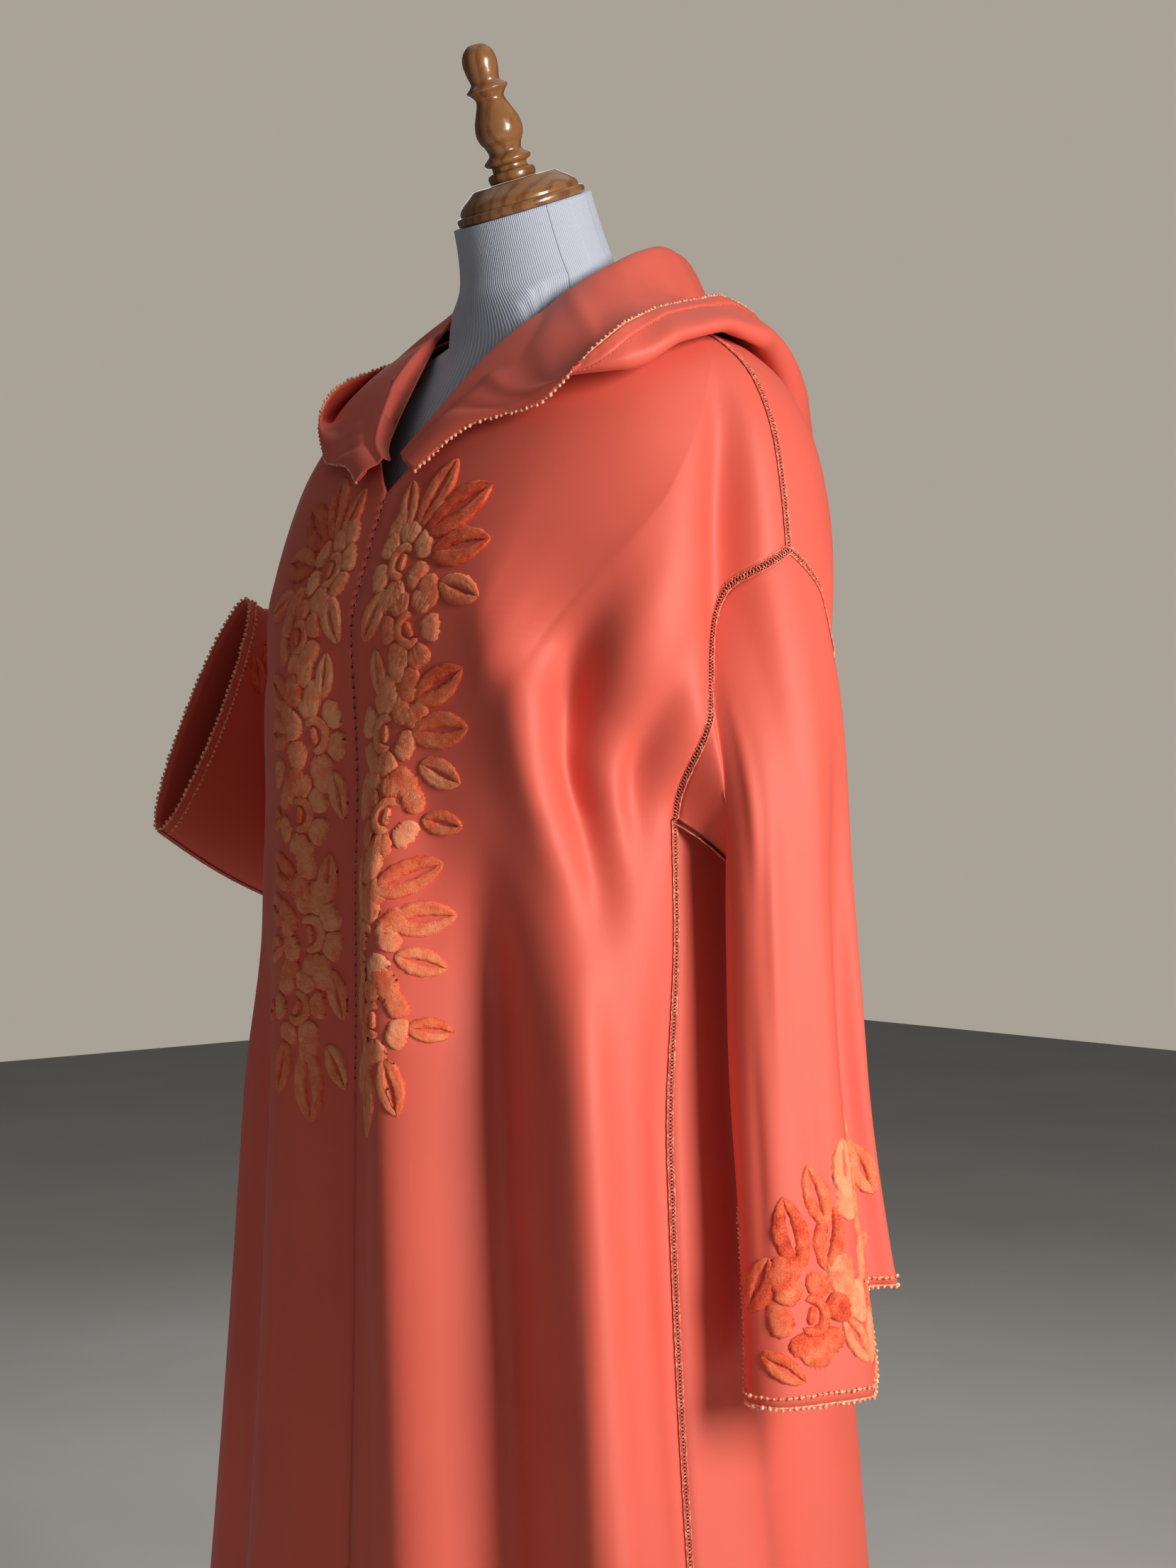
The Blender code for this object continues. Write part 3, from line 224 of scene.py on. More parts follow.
def honeyWood():
    made, tree, shader = newMaterial("honeyWood", (0.26, 0.105, 0.035), 0.30, Coat_Weight=0.5,
                                     Coat_Roughness=0.12)
    coords = mapped(tree, "Object", (34, 34, 5), 22)
    ring, pore = waveOn(tree, coords, 1.1, 5.0, 3.0), noiseOn(tree, coords, 22.0, 2.0)
    paint(tree, shader, addUp(tree, ring, pore), (0.30, (0.15, 0.052, 0.015)), (0.75, (0.22, 0.085, 0.026)),
          (1.0, (0.27, 0.115, 0.038)))
    bumpOn(tree, shader, pore, 0.12, 0.0004)
    return made


def greySteel():
    made, tree, shader = newMaterial("greySteel", (0.30, 0.30, 0.31), 0.38, Metallic=0.85)
    brushed = noiseOn(tree, mapped(tree, "Object", (900, 900, 6)), 1.0, 2.0)
    bumpOn(tree, shader, brushed, 0.15, 0.0001)
    return made


def paleFloor():
    made, tree, shader = newMaterial("paleFloor", studio["floorColour"], 0.75)
    paint(tree, shader, noiseOn(tree, objectCoords(tree), 1.6, 4.0),
          (0.3, (0.74, 0.72, 0.69)), (0.7, (0.82, 0.80, 0.77)))
    return made


finish = {
    "satin": satinCrepe(), "velvet": velvetPile(), "gap": paintedShadeGap(), "jersey": ribbedJersey(),
    "wood": honeyWood(), "steel": greySteel(), "floor": paleFloor(),
    # the last stop of each thread is painted glints
    "thread": threadWithPaintedGlints("braidThread", (0.40, (0.60, 0.090, 0.055)), (0.56, (0.74, 0.170, 0.100)),
                            (0.72, (0.86, 0.42, 0.22))),
    "bead": threadWithPaintedGlints("beadThread", (0.36, (0.70, 0.210, 0.120)), (0.50, (0.84, 0.36, 0.21)),
                          (0.66, (0.92, 0.56, 0.34)))}

bpy.ops.mesh.primitive_plane_add(size=studio["floorSize"], location=(0, 0, 0))
floor = bpy.context.object
floor.name = "floor"
floor.data.materials.append(finish["floor"])
print("studio and materials made")


# The robe's surfaces: the solids' sections, read more finely. The left front's folds are placed anew
def table(columns, *rows):
    ordered = np.array(sorted(rows), float)
    return dict(zip(columns.split(), ordered.T))


def hermite(knots, values, slopes, at):  # a cubic through values with given slopes
    k = np.clip(np.searchsorted(knots, at, side="right") - 1, 0, len(knots) - 2)
    step = knots[k + 1] - knots[k]
    t = (at - knots[k]) / step
    start = values[k] * (1 + 2 * t) * (1 - t) ** 2 + slopes[k] * step * t * (1 - t) ** 2
    end = values[k + 1] * t * t * (3 - 2 * t) + slopes[k + 1] * step * t * t * (t - 1)
    return start + end


def through(x, y, at):  # a monotone cubic through points
    x, y = np.asarray(x, float), np.asarray(y, float)
    chord = np.diff(y) / np.diff(x)
    slopes = np.zeros(len(x))
    slopes[0], slopes[-1] = chord[0], chord[-1]
    for k in range(1, len(x) - 1):
        if chord[k - 1] * chord[k] > 0:
            slopes[k] = 2 / (1 / chord[k - 1] + 1 / chord[k])
    return hermite(x, y, slopes, np.clip(at, x[0], x[-1]))


def columnsAt(rows, at):  # a table's other columns, read at values of its first
    first, *others = rows.values()
    return [through(first, values, at) for values in others]


def unit(ways):  # length 1 along the last axis
    return ways / (np.linalg.norm(ways, axis=-1, keepdims=True) + 1e-12)


def closed(points, axis=0):  # the first row or column once more at the end
    return np.concatenate([points, points.take([0], axis)], axis)


def runningLength(grid, axis):  # distance along a grid's rows (0) or columns (1)
    steps = np.linalg.norm(np.diff(grid, axis=axis), axis=-1)
    return np.concatenate([np.zeros_like(steps.take([0], axis)), np.cumsum(steps, axis=axis)], axis)


def powered(value, power):  # keeps the sign
    return np.sign(value) * np.abs(value) ** power


def smooth(t):
    t = np.clip(t, 0, 1)
    return t * t * (3 - 2 * t)


def settled(at, span):  # 0 up to the span's start, 1 after its length
    return smooth((at - span[0]) / span[1])


cloth = {"thickness": 0.0011, "seamGap": 0.0007, "hem": 0.045, "underarm": 1.060, "neckSide": 1.430,
         "squareness": 2.3, "fade": 0.16, "neckShare": 5 / 13, "ridgeFade": 10, "shoulderFade": (1.40, 0.06),
         "settle": (0.40, 0.60), "edgeSettle": (0.60, 0.40)}
neckLine = ((0, 0.35, 0.75, 1), (1.288, 1.338, 1.405, 1.430))  # share from the V to the neck side, height
shoulderLine = ((0, 0.25, 0.45, 0.62, 1), (1.430, 1.405, 1.375, 1.335, 1.241))
fine = {"columns": 52, "upperRows": 64, "lowerRows": 96, "sleeveRows": 90, "hoodRows": 150, "hoodSteps": 44}
armholeDown = (0, 0.15, 0.36, 0.64, 1)  # shares down the panel, and the edge's angle at each
armholeFront = (90, 80, 76, 73, 70)
armholeBack = (90, 79, 75, 78, 84)
shoulders = table(
    "height halfWidth ridgeY front back",
    (1.430, 0.070, 0.005, 0.030, 0.066), (1.412, 0.122, 0.008, 0.066, 0.074),
    (1.390, 0.172, 0.010, 0.093, 0.090), (1.360, 0.205, 0.010, 0.118, 0.110),
    (1.310, 0.228, 0.008, 0.146, 0.132), (1.241, 0.240, 0.006, 0.170, 0.144),
    (1.190, 0.246, 0.002, 0.182, 0.148), (1.120, 0.252, -0.002, 0.182, 0.148),
    (1.060, 0.256, -0.006, 0.178, 0.148))
skirt = table(
    "height halfWidth ridgeY front back",
    (1.300, 0.196, -0.060, 0.114, 0.190), (1.060, 0.203, -0.064, 0.112, 0.206),
    (0.900, 0.214, -0.070, 0.108, 0.232), (0.700, 0.231, -0.075, 0.107, 0.256),
    (0.500, 0.252, -0.078, 0.110, 0.270), (0.250, 0.280, -0.082, 0.124, 0.290),
    (0.045, 0.304, -0.085, 0.140, 0.306))
neckline = table("height angle", (1.288, 0.0), (1.330, 6.6), (1.385, 16.0), (1.420, 42.0), (1.430, 90.0))
# Each fold: where it starts and ends (degrees round, height), its rise, its half-spreads at top and foot
mainFolds = (
    ((0, 1.25), (0, 0.045), -0.007, (7, 7)), ((8, 1.16), (22, 0.045), 0.024, (7.5, 8.5)),
    ((32, 1.08), (41, 0.045), -0.034, (9, 10)), ((56, 1.03), (66, 0.045), 0.022, (9, 9)),
    ((86, 1.00), (90, 0.045), -0.014, (8, 8)),
    ((24, 1.27), (56, 1.02), 0.018, (9, 8)), ((38, 1.27), (65, 1.02), -0.034, (8, 8)),
    ((60, 1.36), (62, 1.06), 0.008, (7, 7)), ((76, 1.40), (79, 1.06), -0.026, (6, 6)),
    ((112, 1.02), (114, 0.045), -0.020, (10, 9)), ((134, 1.20), (134, 0.045), 0.020, (10, 11)),
    ((155, 1.10), (157, 0.045), -0.018, (10, 9)), ((180, 1.16), (180, 0.045), 0.014, (10, 9)),
    ((-16, 1.26), (-20, 0.045), 0.011, (9, 10)), ((-44, 1.02), (-42, 0.045), -0.016, (11, 11)),
    ((-68, 1.00), (-68, 0.045), 0.012, (11, 10)), ((-38, 1.225), (-86, 1.045), -0.018, (9, 9)),
    ((-74, 1.345), (-90, 1.10), -0.022, (5, 6)), ((-115, 1.05), (-113, 0.045), -0.018, (10, 9)),
    ((-136, 1.18), (-138, 0.045), 0.018, (10, 11)), ((-158, 1.10), (-158, 0.045), -0.015, (10, 9)))
smallFolds = (
    ((33, 1.215), (60, 1.04), 0.0050, (1.6, 4.0)), ((56, 0.80), (53, 0.045), 0.0040, (3.0, 4.5)),
    ((76, 0.62), (78, 0.045), -0.0040, (2.5, 4.5)), ((31, 0.70), (32, 0.045), -0.0032, (3.0, 4.0)),
    ((9, 0.66), (8, 0.045), 0.0028, (3.0, 4.0)), ((38, 1.33), (47, 1.24), -0.0030, (3.0, 5.0)),
    ((52, 1.36), (56, 1.22), 0.0030, (3.0, 4.0)), ((123, 0.86), (125, 0.045), 0.0044, (3.0, 4.5)),
    ((101, 0.74), (100, 0.045), 0.0040, (3.0, 4.0)), ((145, 1.02), (146, 0.045), -0.0040, (3.0, 4.0)),
    ((168, 0.92), (170, 0.045), -0.0042, (3.0, 4.5)), ((120, 1.28), (134, 1.06), 0.0034, (3.0, 5.0)),
    ((-9, 0.70), (-7, 0.045), 0.0030, (3.0, 4.0)), ((-31, 0.90), (-30, 0.045), -0.0036, (3.0, 4.0)),
    ((-56, 0.78), (-55, 0.045), 0.0040, (3.0, 4.5)), ((-50, 1.22), (-72, 1.05), 0.0040, (2.5, 4.0)),
    ((-80, 0.66), (-80, 0.045), -0.0040, (3.0, 4.0)), ((-102, 0.80), (-101, 0.045), 0.0042, (3.0, 4.5)),
    ((-125, 0.94), (-126, 0.045), 0.0034, (3.0, 4.0)), ((-148, 0.84), (-148, 0.045), -0.0040, (3.0, 4.0)),
    ((-170, 1.00), (-169, 0.045), -0.0040, (3.0, 4.0)), ((-118, 1.30), (-130, 1.08), 0.0034, (3.0, 5.0)))


def section(sections, angle, height):
    turn = np.radians(angle)
    across, ahead = (powered(way, 2 / cloth["squareness"]) for way in (np.sin(turn), np.cos(turn)))
    halfWidth, ridgeY, front, back = columnsAt(sections, height)
    return np.stack([halfWidth * across, ridgeY - np.where(ahead > 0, front, back) * ahead,
                     height + 0 * turn], -1)


def foldRise(angle, height):
    rise = np.zeros(np.broadcast(angle, height).shape)
    for (topAngle, topHeight), (footAngle, footHeight), lift, spreads in mainFolds + smallFolds:
        along = np.clip((height - footHeight) / (topHeight - footHeight), 0, 1)
        centre = footAngle + (topAngle - footAngle) * along
        spread = spreads[1] + (spreads[0] - spreads[1]) * along
        fade = min(cloth["fade"], 0.6 * (topHeight - footHeight))
        strength = smooth((topHeight - height) / fade)
        if footHeight > cloth["hem"]:
            strength = strength * smooth((height - footHeight + 0.4 * fade) / fade)
        away = (angle - centre + 180) % 360 - 180
        rise = rise + lift * strength * np.exp(-((away / spread) ** 2))
    return rise


def outward(angle):
    turn = np.radians(angle)
    return np.stack([np.sin(turn), -np.cos(turn), 0 * turn], -1)


def bodyRing(angle, height):
    return section(skirt, angle, height) + foldRise(angle, height)[..., None] * outward(angle)


def shoulderRing(angle, height):
    top, over = cloth["shoulderFade"]
    offRidge = smooth(np.abs(90 - np.abs(angle)) / cloth["ridgeFade"])
    lift = foldRise(angle, height) * offRidge * smooth((top - height) / over)
    return section(shoulders, angle, height) + lift[..., None] * outward(angle)


def necklineAt(share):  # height and angle of the front neckline, 0 at the V and 1 at the neck side
    height = through(*neckLine, share)
    return height, *columnsAt(neckline, height)


def upperPanel(side, back):
    across = np.linspace(0, 1, fine["columns"] + 1)[None, :]
    down = np.linspace(0, 1, fine["upperRows"] + 1)[:, None]
    alongNeck = np.clip(across / cloth["neckShare"], 0, 1)
    alongShoulder = np.clip((across - cloth["neckShare"]) / (1 - cloth["neckShare"]), 0, 1)
    neckHeight, neckAngle = necklineAt(alongNeck)
    if back:
        neckHeight, neckAngle = cloth["neckSide"] + 0 * alongNeck, 90 * alongNeck
    onNeck = across <= cloth["neckShare"] + 1e-9
    topHeight = np.where(onNeck, neckHeight, through(*shoulderLine, alongShoulder))
    topAngle = np.where(onNeck, neckAngle, 90.0)
    edgeAngle = through(armholeDown, armholeBack if back else armholeFront, down)
    angle = (1 - down) * (topAngle - across * 90) + across * edgeAngle
    height = (1 - down) * topHeight + down * cloth["underarm"]
    settle = settled(down, cloth["settle"])
    settle = settle + (settled(down, cloth["edgeSettle"]) - settle) * across**6
    facing = 180 - angle if back else angle
    ringAngle = 90 * across
    ringFacing = 180 - ringAngle if back else ringAngle
    loose = shoulderRing(side * facing, height)
    hanging = bodyRing(side * (ringFacing + 0 * height), height + 0 * ringAngle)
    return loose * (1 - settle[..., None]) + hanging * settle[..., None]


def quarter(side, back):
    angle = np.linspace(0, 90, fine["columns"] + 1)[None, :]
    angle = 180 - angle if back else angle
    drop = np.linspace(0, 1, fine["lowerRows"] + 1)[:, None]
    height = cloth["underarm"] + (cloth["hem"] - cloth["underarm"]) * drop
    lower = bodyRing(side * (angle + 0 * height), height + 0 * angle)
    return np.concatenate([upperPanel(side, back), lower[1:]])


def armholeLoop(side):
    front, back = upperPanel(side, False)[:, -1], upperPanel(side, True)[:, -1]
    return np.concatenate([front, back[-2:0:-1]])


hangingSleeve = table(
    "height x y halfX halfY",
    (1.160, 0.243, -0.004, 0.029, 0.058), (1.050, 0.249, -0.004, 0.026, 0.051),
    (0.900, 0.256, 0.000, 0.027, 0.054), (0.780, 0.266, 0.006, 0.028, 0.062),
    (0.680, 0.276, 0.012, 0.029, 0.074))
leftCuff = {"front": 0.688, "back": 0.748, "bulge": 0.014, "creaseTurn": 5.75, "creaseDepth": 0.020,
            "creaseSpread": 0.38, "ridge": 0.006, "ridgeSpread": 0.30, "settleBy": 0.30, "behind": (2.4, 1.4),
            "outer": 0.55, "squareness": 0.8}
# Small creases of the hanging sleeve: turn, share along, half-spread, half-length, rise
sleeveCreases = ((0.75, 0.40, 0.16, 0.16, 0.0022), (1.35, 0.70, 0.20, 0.20, -0.0024),
                 (1.05, 0.22, 0.15, 0.10, 0.0024), (5.10, 0.55, 0.18, 0.22, 0.0026),
                 (4.50, 0.30, 0.20, 0.14, -0.0024), (2.20, 0.52, 0.24, 0.20, 0.0022),
                 (0.35, 0.78, 0.14, 0.14, -0.0018), (5.45, 0.86, 0.16, 0.10, 0.0018))


def hangingRing(turn, height, share):
    x, y, halfX, halfY = columnsAt(hangingSleeve, height)
    for at, along, spread, reach, rise in sleeveCreases:
        away = (turn - at + np.pi) % (2 * np.pi) - np.pi
        bump = rise * np.exp(-((away / spread) ** 2) - ((share - along) / reach) ** 2)
        halfX, halfY = halfX + bump, halfY + bump
    roundX, roundY = (powered(way, leftCuff["squareness"]) for way in (np.cos(turn), np.sin(turn)))
    fromCrease = (turn - leftCuff["creaseTurn"]) / leftCuff["creaseSpread"]
    crease = leftCuff["creaseDepth"] * np.exp(-(fromCrease**2)) * smooth(share * 1.4)
    fromRidge = np.minimum(turn, 2 * np.pi - turn)
    ridge = leftCuff["ridge"] * np.exp(-((fromRidge / leftCuff["ridgeSpread"]) ** 2)) * smooth(share * 3)
    return np.stack([x + halfX * roundX - crease + ridge, y - halfY * roundY, height], -1)


def leftSleeve():  # rows from the armhole to the cuff, columns round from the outer line by the front
    loop = armholeLoop(1)
    turn = 2 * np.pi * np.arange(len(loop)) / len(loop)
    behind = settled(turn, leftCuff["behind"]) * smooth((2 * np.pi - turn) / leftCuff["outer"])
    cuffHeight = leftCuff["front"] + (leftCuff["back"] - leftCuff["front"]) * behind
    apart = loop - hangingRing(turn, loop[:, 2], 0)
    rows = []
    for share in np.linspace(0, 1, fine["sleeveRows"] + 1):
        height = loop[:, 2] + (cuffHeight - loop[:, 2]) * share
        settle = 1 - max(1 - share / leftCuff["settleBy"], 0) ** 2
        ring = hangingRing(turn, height, share) + apart * (1 - settle)
        ring[:, 0] += leftCuff["bulge"] * 4 * settle * (1 - settle) * np.maximum(-np.cos(turn), 0)
        rows.append(ring)
    return np.array(rows)


proppedSleeve = table(
    "share x y top bottom halfThickness",
    (0.00, -0.238, 0.004, 1.241, 1.060, 0.060), (0.10, -0.266, 0.016, 1.222, 1.022, 0.046),
    (0.22, -0.292, 0.056, 1.190, 0.975, 0.034), (0.34, -0.316, 0.106, 1.162, 0.944, 0.026),
    (0.46, -0.342, 0.143, 1.145, 0.930, 0.018), (0.58, -0.368, 0.134, 1.152, 0.936, 0.017),
    (0.72, -0.372, 0.087, 1.180, 0.960, 0.019), (0.86, -0.362, 0.004, 1.212, 1.000, 0.020),
    (1.00, -0.346, -0.076, 1.240, 1.046, 0.021))
rightCuff = {"lean": 0.085, "leanOver": (0.6, 0.4), "settleBy": 0.34, "crumple": 0.0030}


def rightSleeve():  # rows from the armhole to the cuff, columns round from the upper line by the front
    loop = armholeLoop(-1)
    turn = 2 * np.pi * np.arange(len(loop)) / len(loop)
    shares = np.linspace(0, 1, fine["sleeveRows"] + 1)
    x, y, top, bottom, halfThickness = columnsAt(proppedSleeve, shares)
    heading = unit(np.stack([np.gradient(x), np.gradient(y)], -1))
    rise = np.cos(turn)
    rows = []
    for k, share in enumerate(shares):
        crumple = np.sin(turn * 3 + share * 9) * smooth(share * 3) * smooth((1 - share) * 6)
        beside = np.sin(turn) * halfThickness[k] + crumple * rightCuff["crumple"]
        lean = rightCuff["lean"] * settled(share, rightCuff["leanOver"]) * rise / 2
        rows.append(np.stack([x[k] - heading[k, 1] * beside, y[k] + heading[k, 0] * beside + lean,
                              (top[k] + bottom[k]) / 2 + (top[k] - bottom[k]) / 2 * rise], -1))
    apart = loop - rows[0]
    settle = 1 - np.maximum(1 - shares / rightCuff["settleBy"], 0) ** 1.5
    return np.array([row + apart * (1 - part) for row, part in zip(rows, settle)])


# The hood lies back: stations round from the V (0) to the centre back (1), each with its crest, middle,
# roll, outer and edge points
hoodStations = (
    (0.00, (0.004, -0.1460, 1.3040), (0.009, -0.1510, 1.3000), (0.014, -0.1550, 1.2960),
     (0.018, -0.1570, 1.2920), (0.022, -0.1580, 1.2880)),
    (0.16, (0.030, -0.1200, 1.3400), (0.044, -0.1320, 1.3380), (0.058, -0.1350, 1.3340),
     (0.068, -0.1345, 1.3320), (0.079, -0.1320, 1.3300)),
    (0.28, (0.050, -0.0830, 1.3840), (0.074, -0.1050, 1.3680), (0.096, -0.1170, 1.3490),
     (0.111, -0.1195, 1.3430), (0.124, -0.1180, 1.3380)),
    (0.36, (0.063, -0.0470, 1.4250), (0.096, -0.0780, 1.3950), (0.130, -0.1050, 1.3590),
     (0.146, -0.1110, 1.3550), (0.158, -0.1090, 1.3620)),
    (0.44, (0.070, -0.0240, 1.4430), (0.110, -0.0480, 1.4110), (0.168, -0.0820, 1.3600),
     (0.184, -0.0860, 1.3650), (0.172, -0.0860, 1.3860)),
    (0.50, (0.073, 0.0020, 1.4560), (0.112, -0.0150, 1.4260), (0.180, -0.0370, 1.3830),
     (0.192, -0.0370, 1.3900), (0.162, -0.0340, 1.4090)),
    (0.58, (0.067, 0.0340, 1.4700), (0.110, 0.0200, 1.4310), (0.178, 0.0090, 1.3930),
     (0.188, 0.0110, 1.4020), (0.154, 0.0040, 1.4200)),
    (0.66, (0.058, 0.0580, 1.4770), (0.104, 0.0540, 1.4290), (0.162, 0.0600, 1.3900),
     (0.174, 0.0630, 1.4010), (0.143, 0.0420, 1.4290)),
    (0.76, (0.044, 0.0880, 1.4790), (0.088, 0.1040, 1.4080), (0.124, 0.1290, 1.3300),
     (0.139, 0.1350, 1.3700), (0.109, 0.1090, 1.4300)),
    (0.90, (0.020, 0.1080, 1.4805), (0.045, 0.1300, 1.3800), (0.062, 0.1560, 1.2300),
     (0.080, 0.1900, 1.3200), (0.052, 0.1580, 1.4260)),
    (1.00, (0.000, 0.1120, 1.4810), (0.000, 0.1340, 1.3700), (0.000, 0.1620, 1.1900),
     (0.000, 0.2020, 1.3050), (0.000, 0.1720, 1.4240)))
hoodFit = {"start": 0.04, "rest": 0.0060, "lip": 0.004, "seamGap": 0.0009, "rightReach": 0.72,
           "rightDrop": 0.016, "rightForward": 0.008, "knots": (0, 0.12, 0.38, 0.62, 0.80, 1.0),
           "widenOver": (0.40, 0.25), "slumpTo": 0.43, "slumpOver": 0.2, "closeOver": (0.31, 0.19),
           "wrinkleLean": 0.10}
# Drapes and wrinkles of the hood: place round, place out, half-spreads, rise
hoodWrinkles = ((0.20, 0.55, 0.020, 0.30, 0.0016), (0.27, 0.45, 0.016, 0.25, -0.0018),
                (0.33, 0.60, 0.022, 0.25, 0.0022), (0.42, 0.42, 0.018, 0.22, -0.0022),
                (0.47, 0.75, 0.016, 0.20, 0.0024), (0.56, 0.50, 0.022, 0.25, -0.0022),
                (0.63, 0.65, 0.020, 0.25, 0.0024), (0.70, 0.40, 0.022, 0.22, -0.0024),
                (0.84, 0.70, 0.030, 0.24, 0.0028), (0.93, 0.55, 0.022, 0.24, -0.0026))


def hoodNeckPoint(side, share):
    if share < 0.5:
        height, angle = necklineAt(np.array([share * 2]))
    else:
        height, angle = np.array([cloth["neckSide"]]), np.array([180 - 90 * (2 - share * 2)])
    return shoulderRing(side * angle, height)[0] + np.array([0, 0, hoodFit["seamGap"]])


def hoodHalf(side):
    stations, points = zip(*((row[0], row[1:]) for row in hoodStations))
    points, knots = np.array(points), np.array(hoodFit["knots"])
    spots = np.linspace(0, 1, fine["hoodSteps"] + 1)
    shares = np.linspace(hoodFit["start"], 1, fine["hoodRows"] + 1)
    rows = []
    for share in shares:
        profile = [hoodNeckPoint(side, share)]
        for column in range(points.shape[1]):
            profile.append([float(through(stations, points[:, column, k], share)) for k in range(3)])
        profile = np.array(profile)
        profile[0, 0] *= side
        if side < 0:
            shrink = hoodFit["rightReach"] + (1 - hoodFit["rightReach"]) * settled(share, hoodFit["widenOver"])
            slump = (smooth(share / hoodFit["slumpOver"])
                     * smooth((hoodFit["slumpTo"] - share) / hoodFit["slumpOver"]))
            profile[2:, 0] = profile[1, 0] + (profile[2:, 0] - profile[1, 0]) * shrink
            profile[1:, 1] -= hoodFit["rightForward"] * slump
            profile[1:, 2] -= hoodFit["rightDrop"] * slump
        lip = profile[1] + unit(profile[1] - profile[2]) * hoodFit["lip"]
        profile[0] = lip + (profile[0] - lip) * settled(share, hoodFit["closeOver"])
        profile[:, 0] *= side
        slopes = [np.gradient(profile[:, k], knots) for k in range(3)]
        rows.append(np.stack([hermite(knots, profile[:, k], slopes[k], spots) for k in range(3)], -1))
    rows = np.array(rows)
    facing = gridNormals(rows) * side
    for at, out, spreadAround, spreadOut, rise in hoodWrinkles:
        lean = hoodFit["wrinkleLean"] * (spots[None] - out)
        bump = rise * np.exp(-(((shares[:, None] - at - lean) / spreadAround) ** 2)
                             - ((spots[None] - out) / spreadOut) ** 2)
        rows += facing * bump[..., None]
    return rows


def editAll(made):
    bpy.ops.object.select_all(action="DESELECT")
    made.select_set(True)
    bpy.context.view_layer.objects.active = made
    bpy.ops.object.mode_set(mode="EDIT")
    bpy.ops.mesh.select_all(action="SELECT")


def editDone(made, merge=0.0, outward=True):
    if merge:
        bpy.ops.mesh.remove_doubles(threshold=merge)
    if outward:
        bpy.ops.mesh.normals_make_consistent(inside=False)
    bpy.ops.object.mode_set(mode="OBJECT")
    made.select_set(False)


def gridNormals(grid, tube=False):
    across = np.roll(grid, -1, 1) - np.roll(grid, 1, 1) if tube else np.gradient(grid, axis=1)
    return unit(np.cross(np.gradient(grid, axis=0), across))


mergeWithin = 0.00001


def cellCorners(rows, columns, tube=False):
    row, column = np.mgrid[0:rows - 1, 0:columns if tube else columns - 1]
    beside = (column + 1) % columns
    return np.stack([(row * columns + column).ravel(), ((row + 1) * columns + column).ravel(),
                     ((row + 1) * columns + beside).ravel(), (row * columns + beside).ravel()], -1)


def meshObject(name, points, faces, material, uvs=None, lines=()):
    mesh = bpy.data.meshes.new(name)
    mesh.from_pydata(np.asarray(points).tolist(), list(lines), [list(face) for face in faces])
    mesh.materials.append(material)
    mesh.polygons.foreach_set("use_smooth", [True] * len(mesh.polygons))
    if uvs is not None:
        layer = mesh.uv_layers.new(name="UVMap")
        corners = np.zeros(len(mesh.loops), int)
        mesh.loops.foreach_get("vertex_index", corners)
        layer.data.foreach_set("uv", np.asarray(uvs, np.float32)[corners].ravel())
    mesh.update()
    made = bpy.data.objects.new(name, mesh)
    bpy.context.scene.collection.objects.link(made)
    return made


def handOver(piece, node=None):
    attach(piece, "root")
    if node:
        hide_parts(node)


def flatUvs(grid):  # mean distance round and down, in metres
    u, v = runningLength(grid, 1).mean(0)[None, :], runningLength(grid, 0).mean(1)[:, None]
    return np.stack(np.broadcast_arrays(u, v), -1).reshape(-1, 2)


def clothWall(name, grid, tube, material):
    rows, columns = grid.shape[:2]
    normals = gridNormals(grid, tube)
    if tube:  # the seam column is repeated, so that the weave's map doesn't wrap back
        grid, normals, columns = closed(grid, 1), closed(normals, 1), columns + 1
    inner = grid - normals * cloth["thickness"]
    count = rows * columns
    number = np.arange(count).reshape(rows, columns)
    cells = cellCorners(rows, columns)
    faces = [cells, cells[:, ::-1] + count]
    rims = [number[0, ::-1], number[-1, :]] + ([] if tube else [number[:, 0], number[::-1, -1]])
    for rim in rims:
        faces.append(np.stack([rim[1:], rim[:-1], rim[:-1] + count, rim[1:] + count], -1))
    uvs = flatUvs(grid)
    made = meshObject(name, np.concatenate([grid.reshape(-1, 3), inner.reshape(-1, 3)]),
                      np.concatenate(faces), material, np.concatenate([uvs, uvs]))
    if tube:
        editAll(made)
        editDone(made, mergeWithin, outward=False)
    return made


def drawIn(grid, edges):  # seams pulled in a little from the line that the pieces share
    grid = grid.copy()
    for edge in edges:
        line, nextLine = {"top": (grid[0], grid[1]), "left": (grid[:, 0], grid[:, 1]),
                          "right": (grid[:, -1], grid[:, -2])}[edge]
        line += unit(nextLine - line) * cloth["seamGap"] / 2
    return grid


def declareCloth(grid, tube):
    grid = closed(grid, 1) if tube else grid
    width, length = runningLength(grid, 1)[:, -1].max(), runningLength(grid, 0)[-1].max()


neckColumns = round(fine["columns"] * cloth["neckShare"])
leftFront = drawIn(quarter(1, False), ("left", "right"))
rightFront = drawIn(quarter(-1, False)[:, ::-1], ("left", "right"))
backPanel = drawIn(np.concatenate([quarter(1, True)[:, ::-1], quarter(-1, True)[:, 1:]], axis=1),
                   ("left", "right"))
leftArm = drawIn(np.roll(leftSleeve()[:, ::-1], 1, axis=1), ("top",))
rightArm = drawIn(rightSleeve(), ("top",))


def triangles(grid, start=0):
    corners = cellCorners(*grid.shape[:2]) + start
    return [corners[:, :3], corners[:, [0, 2, 3]]]


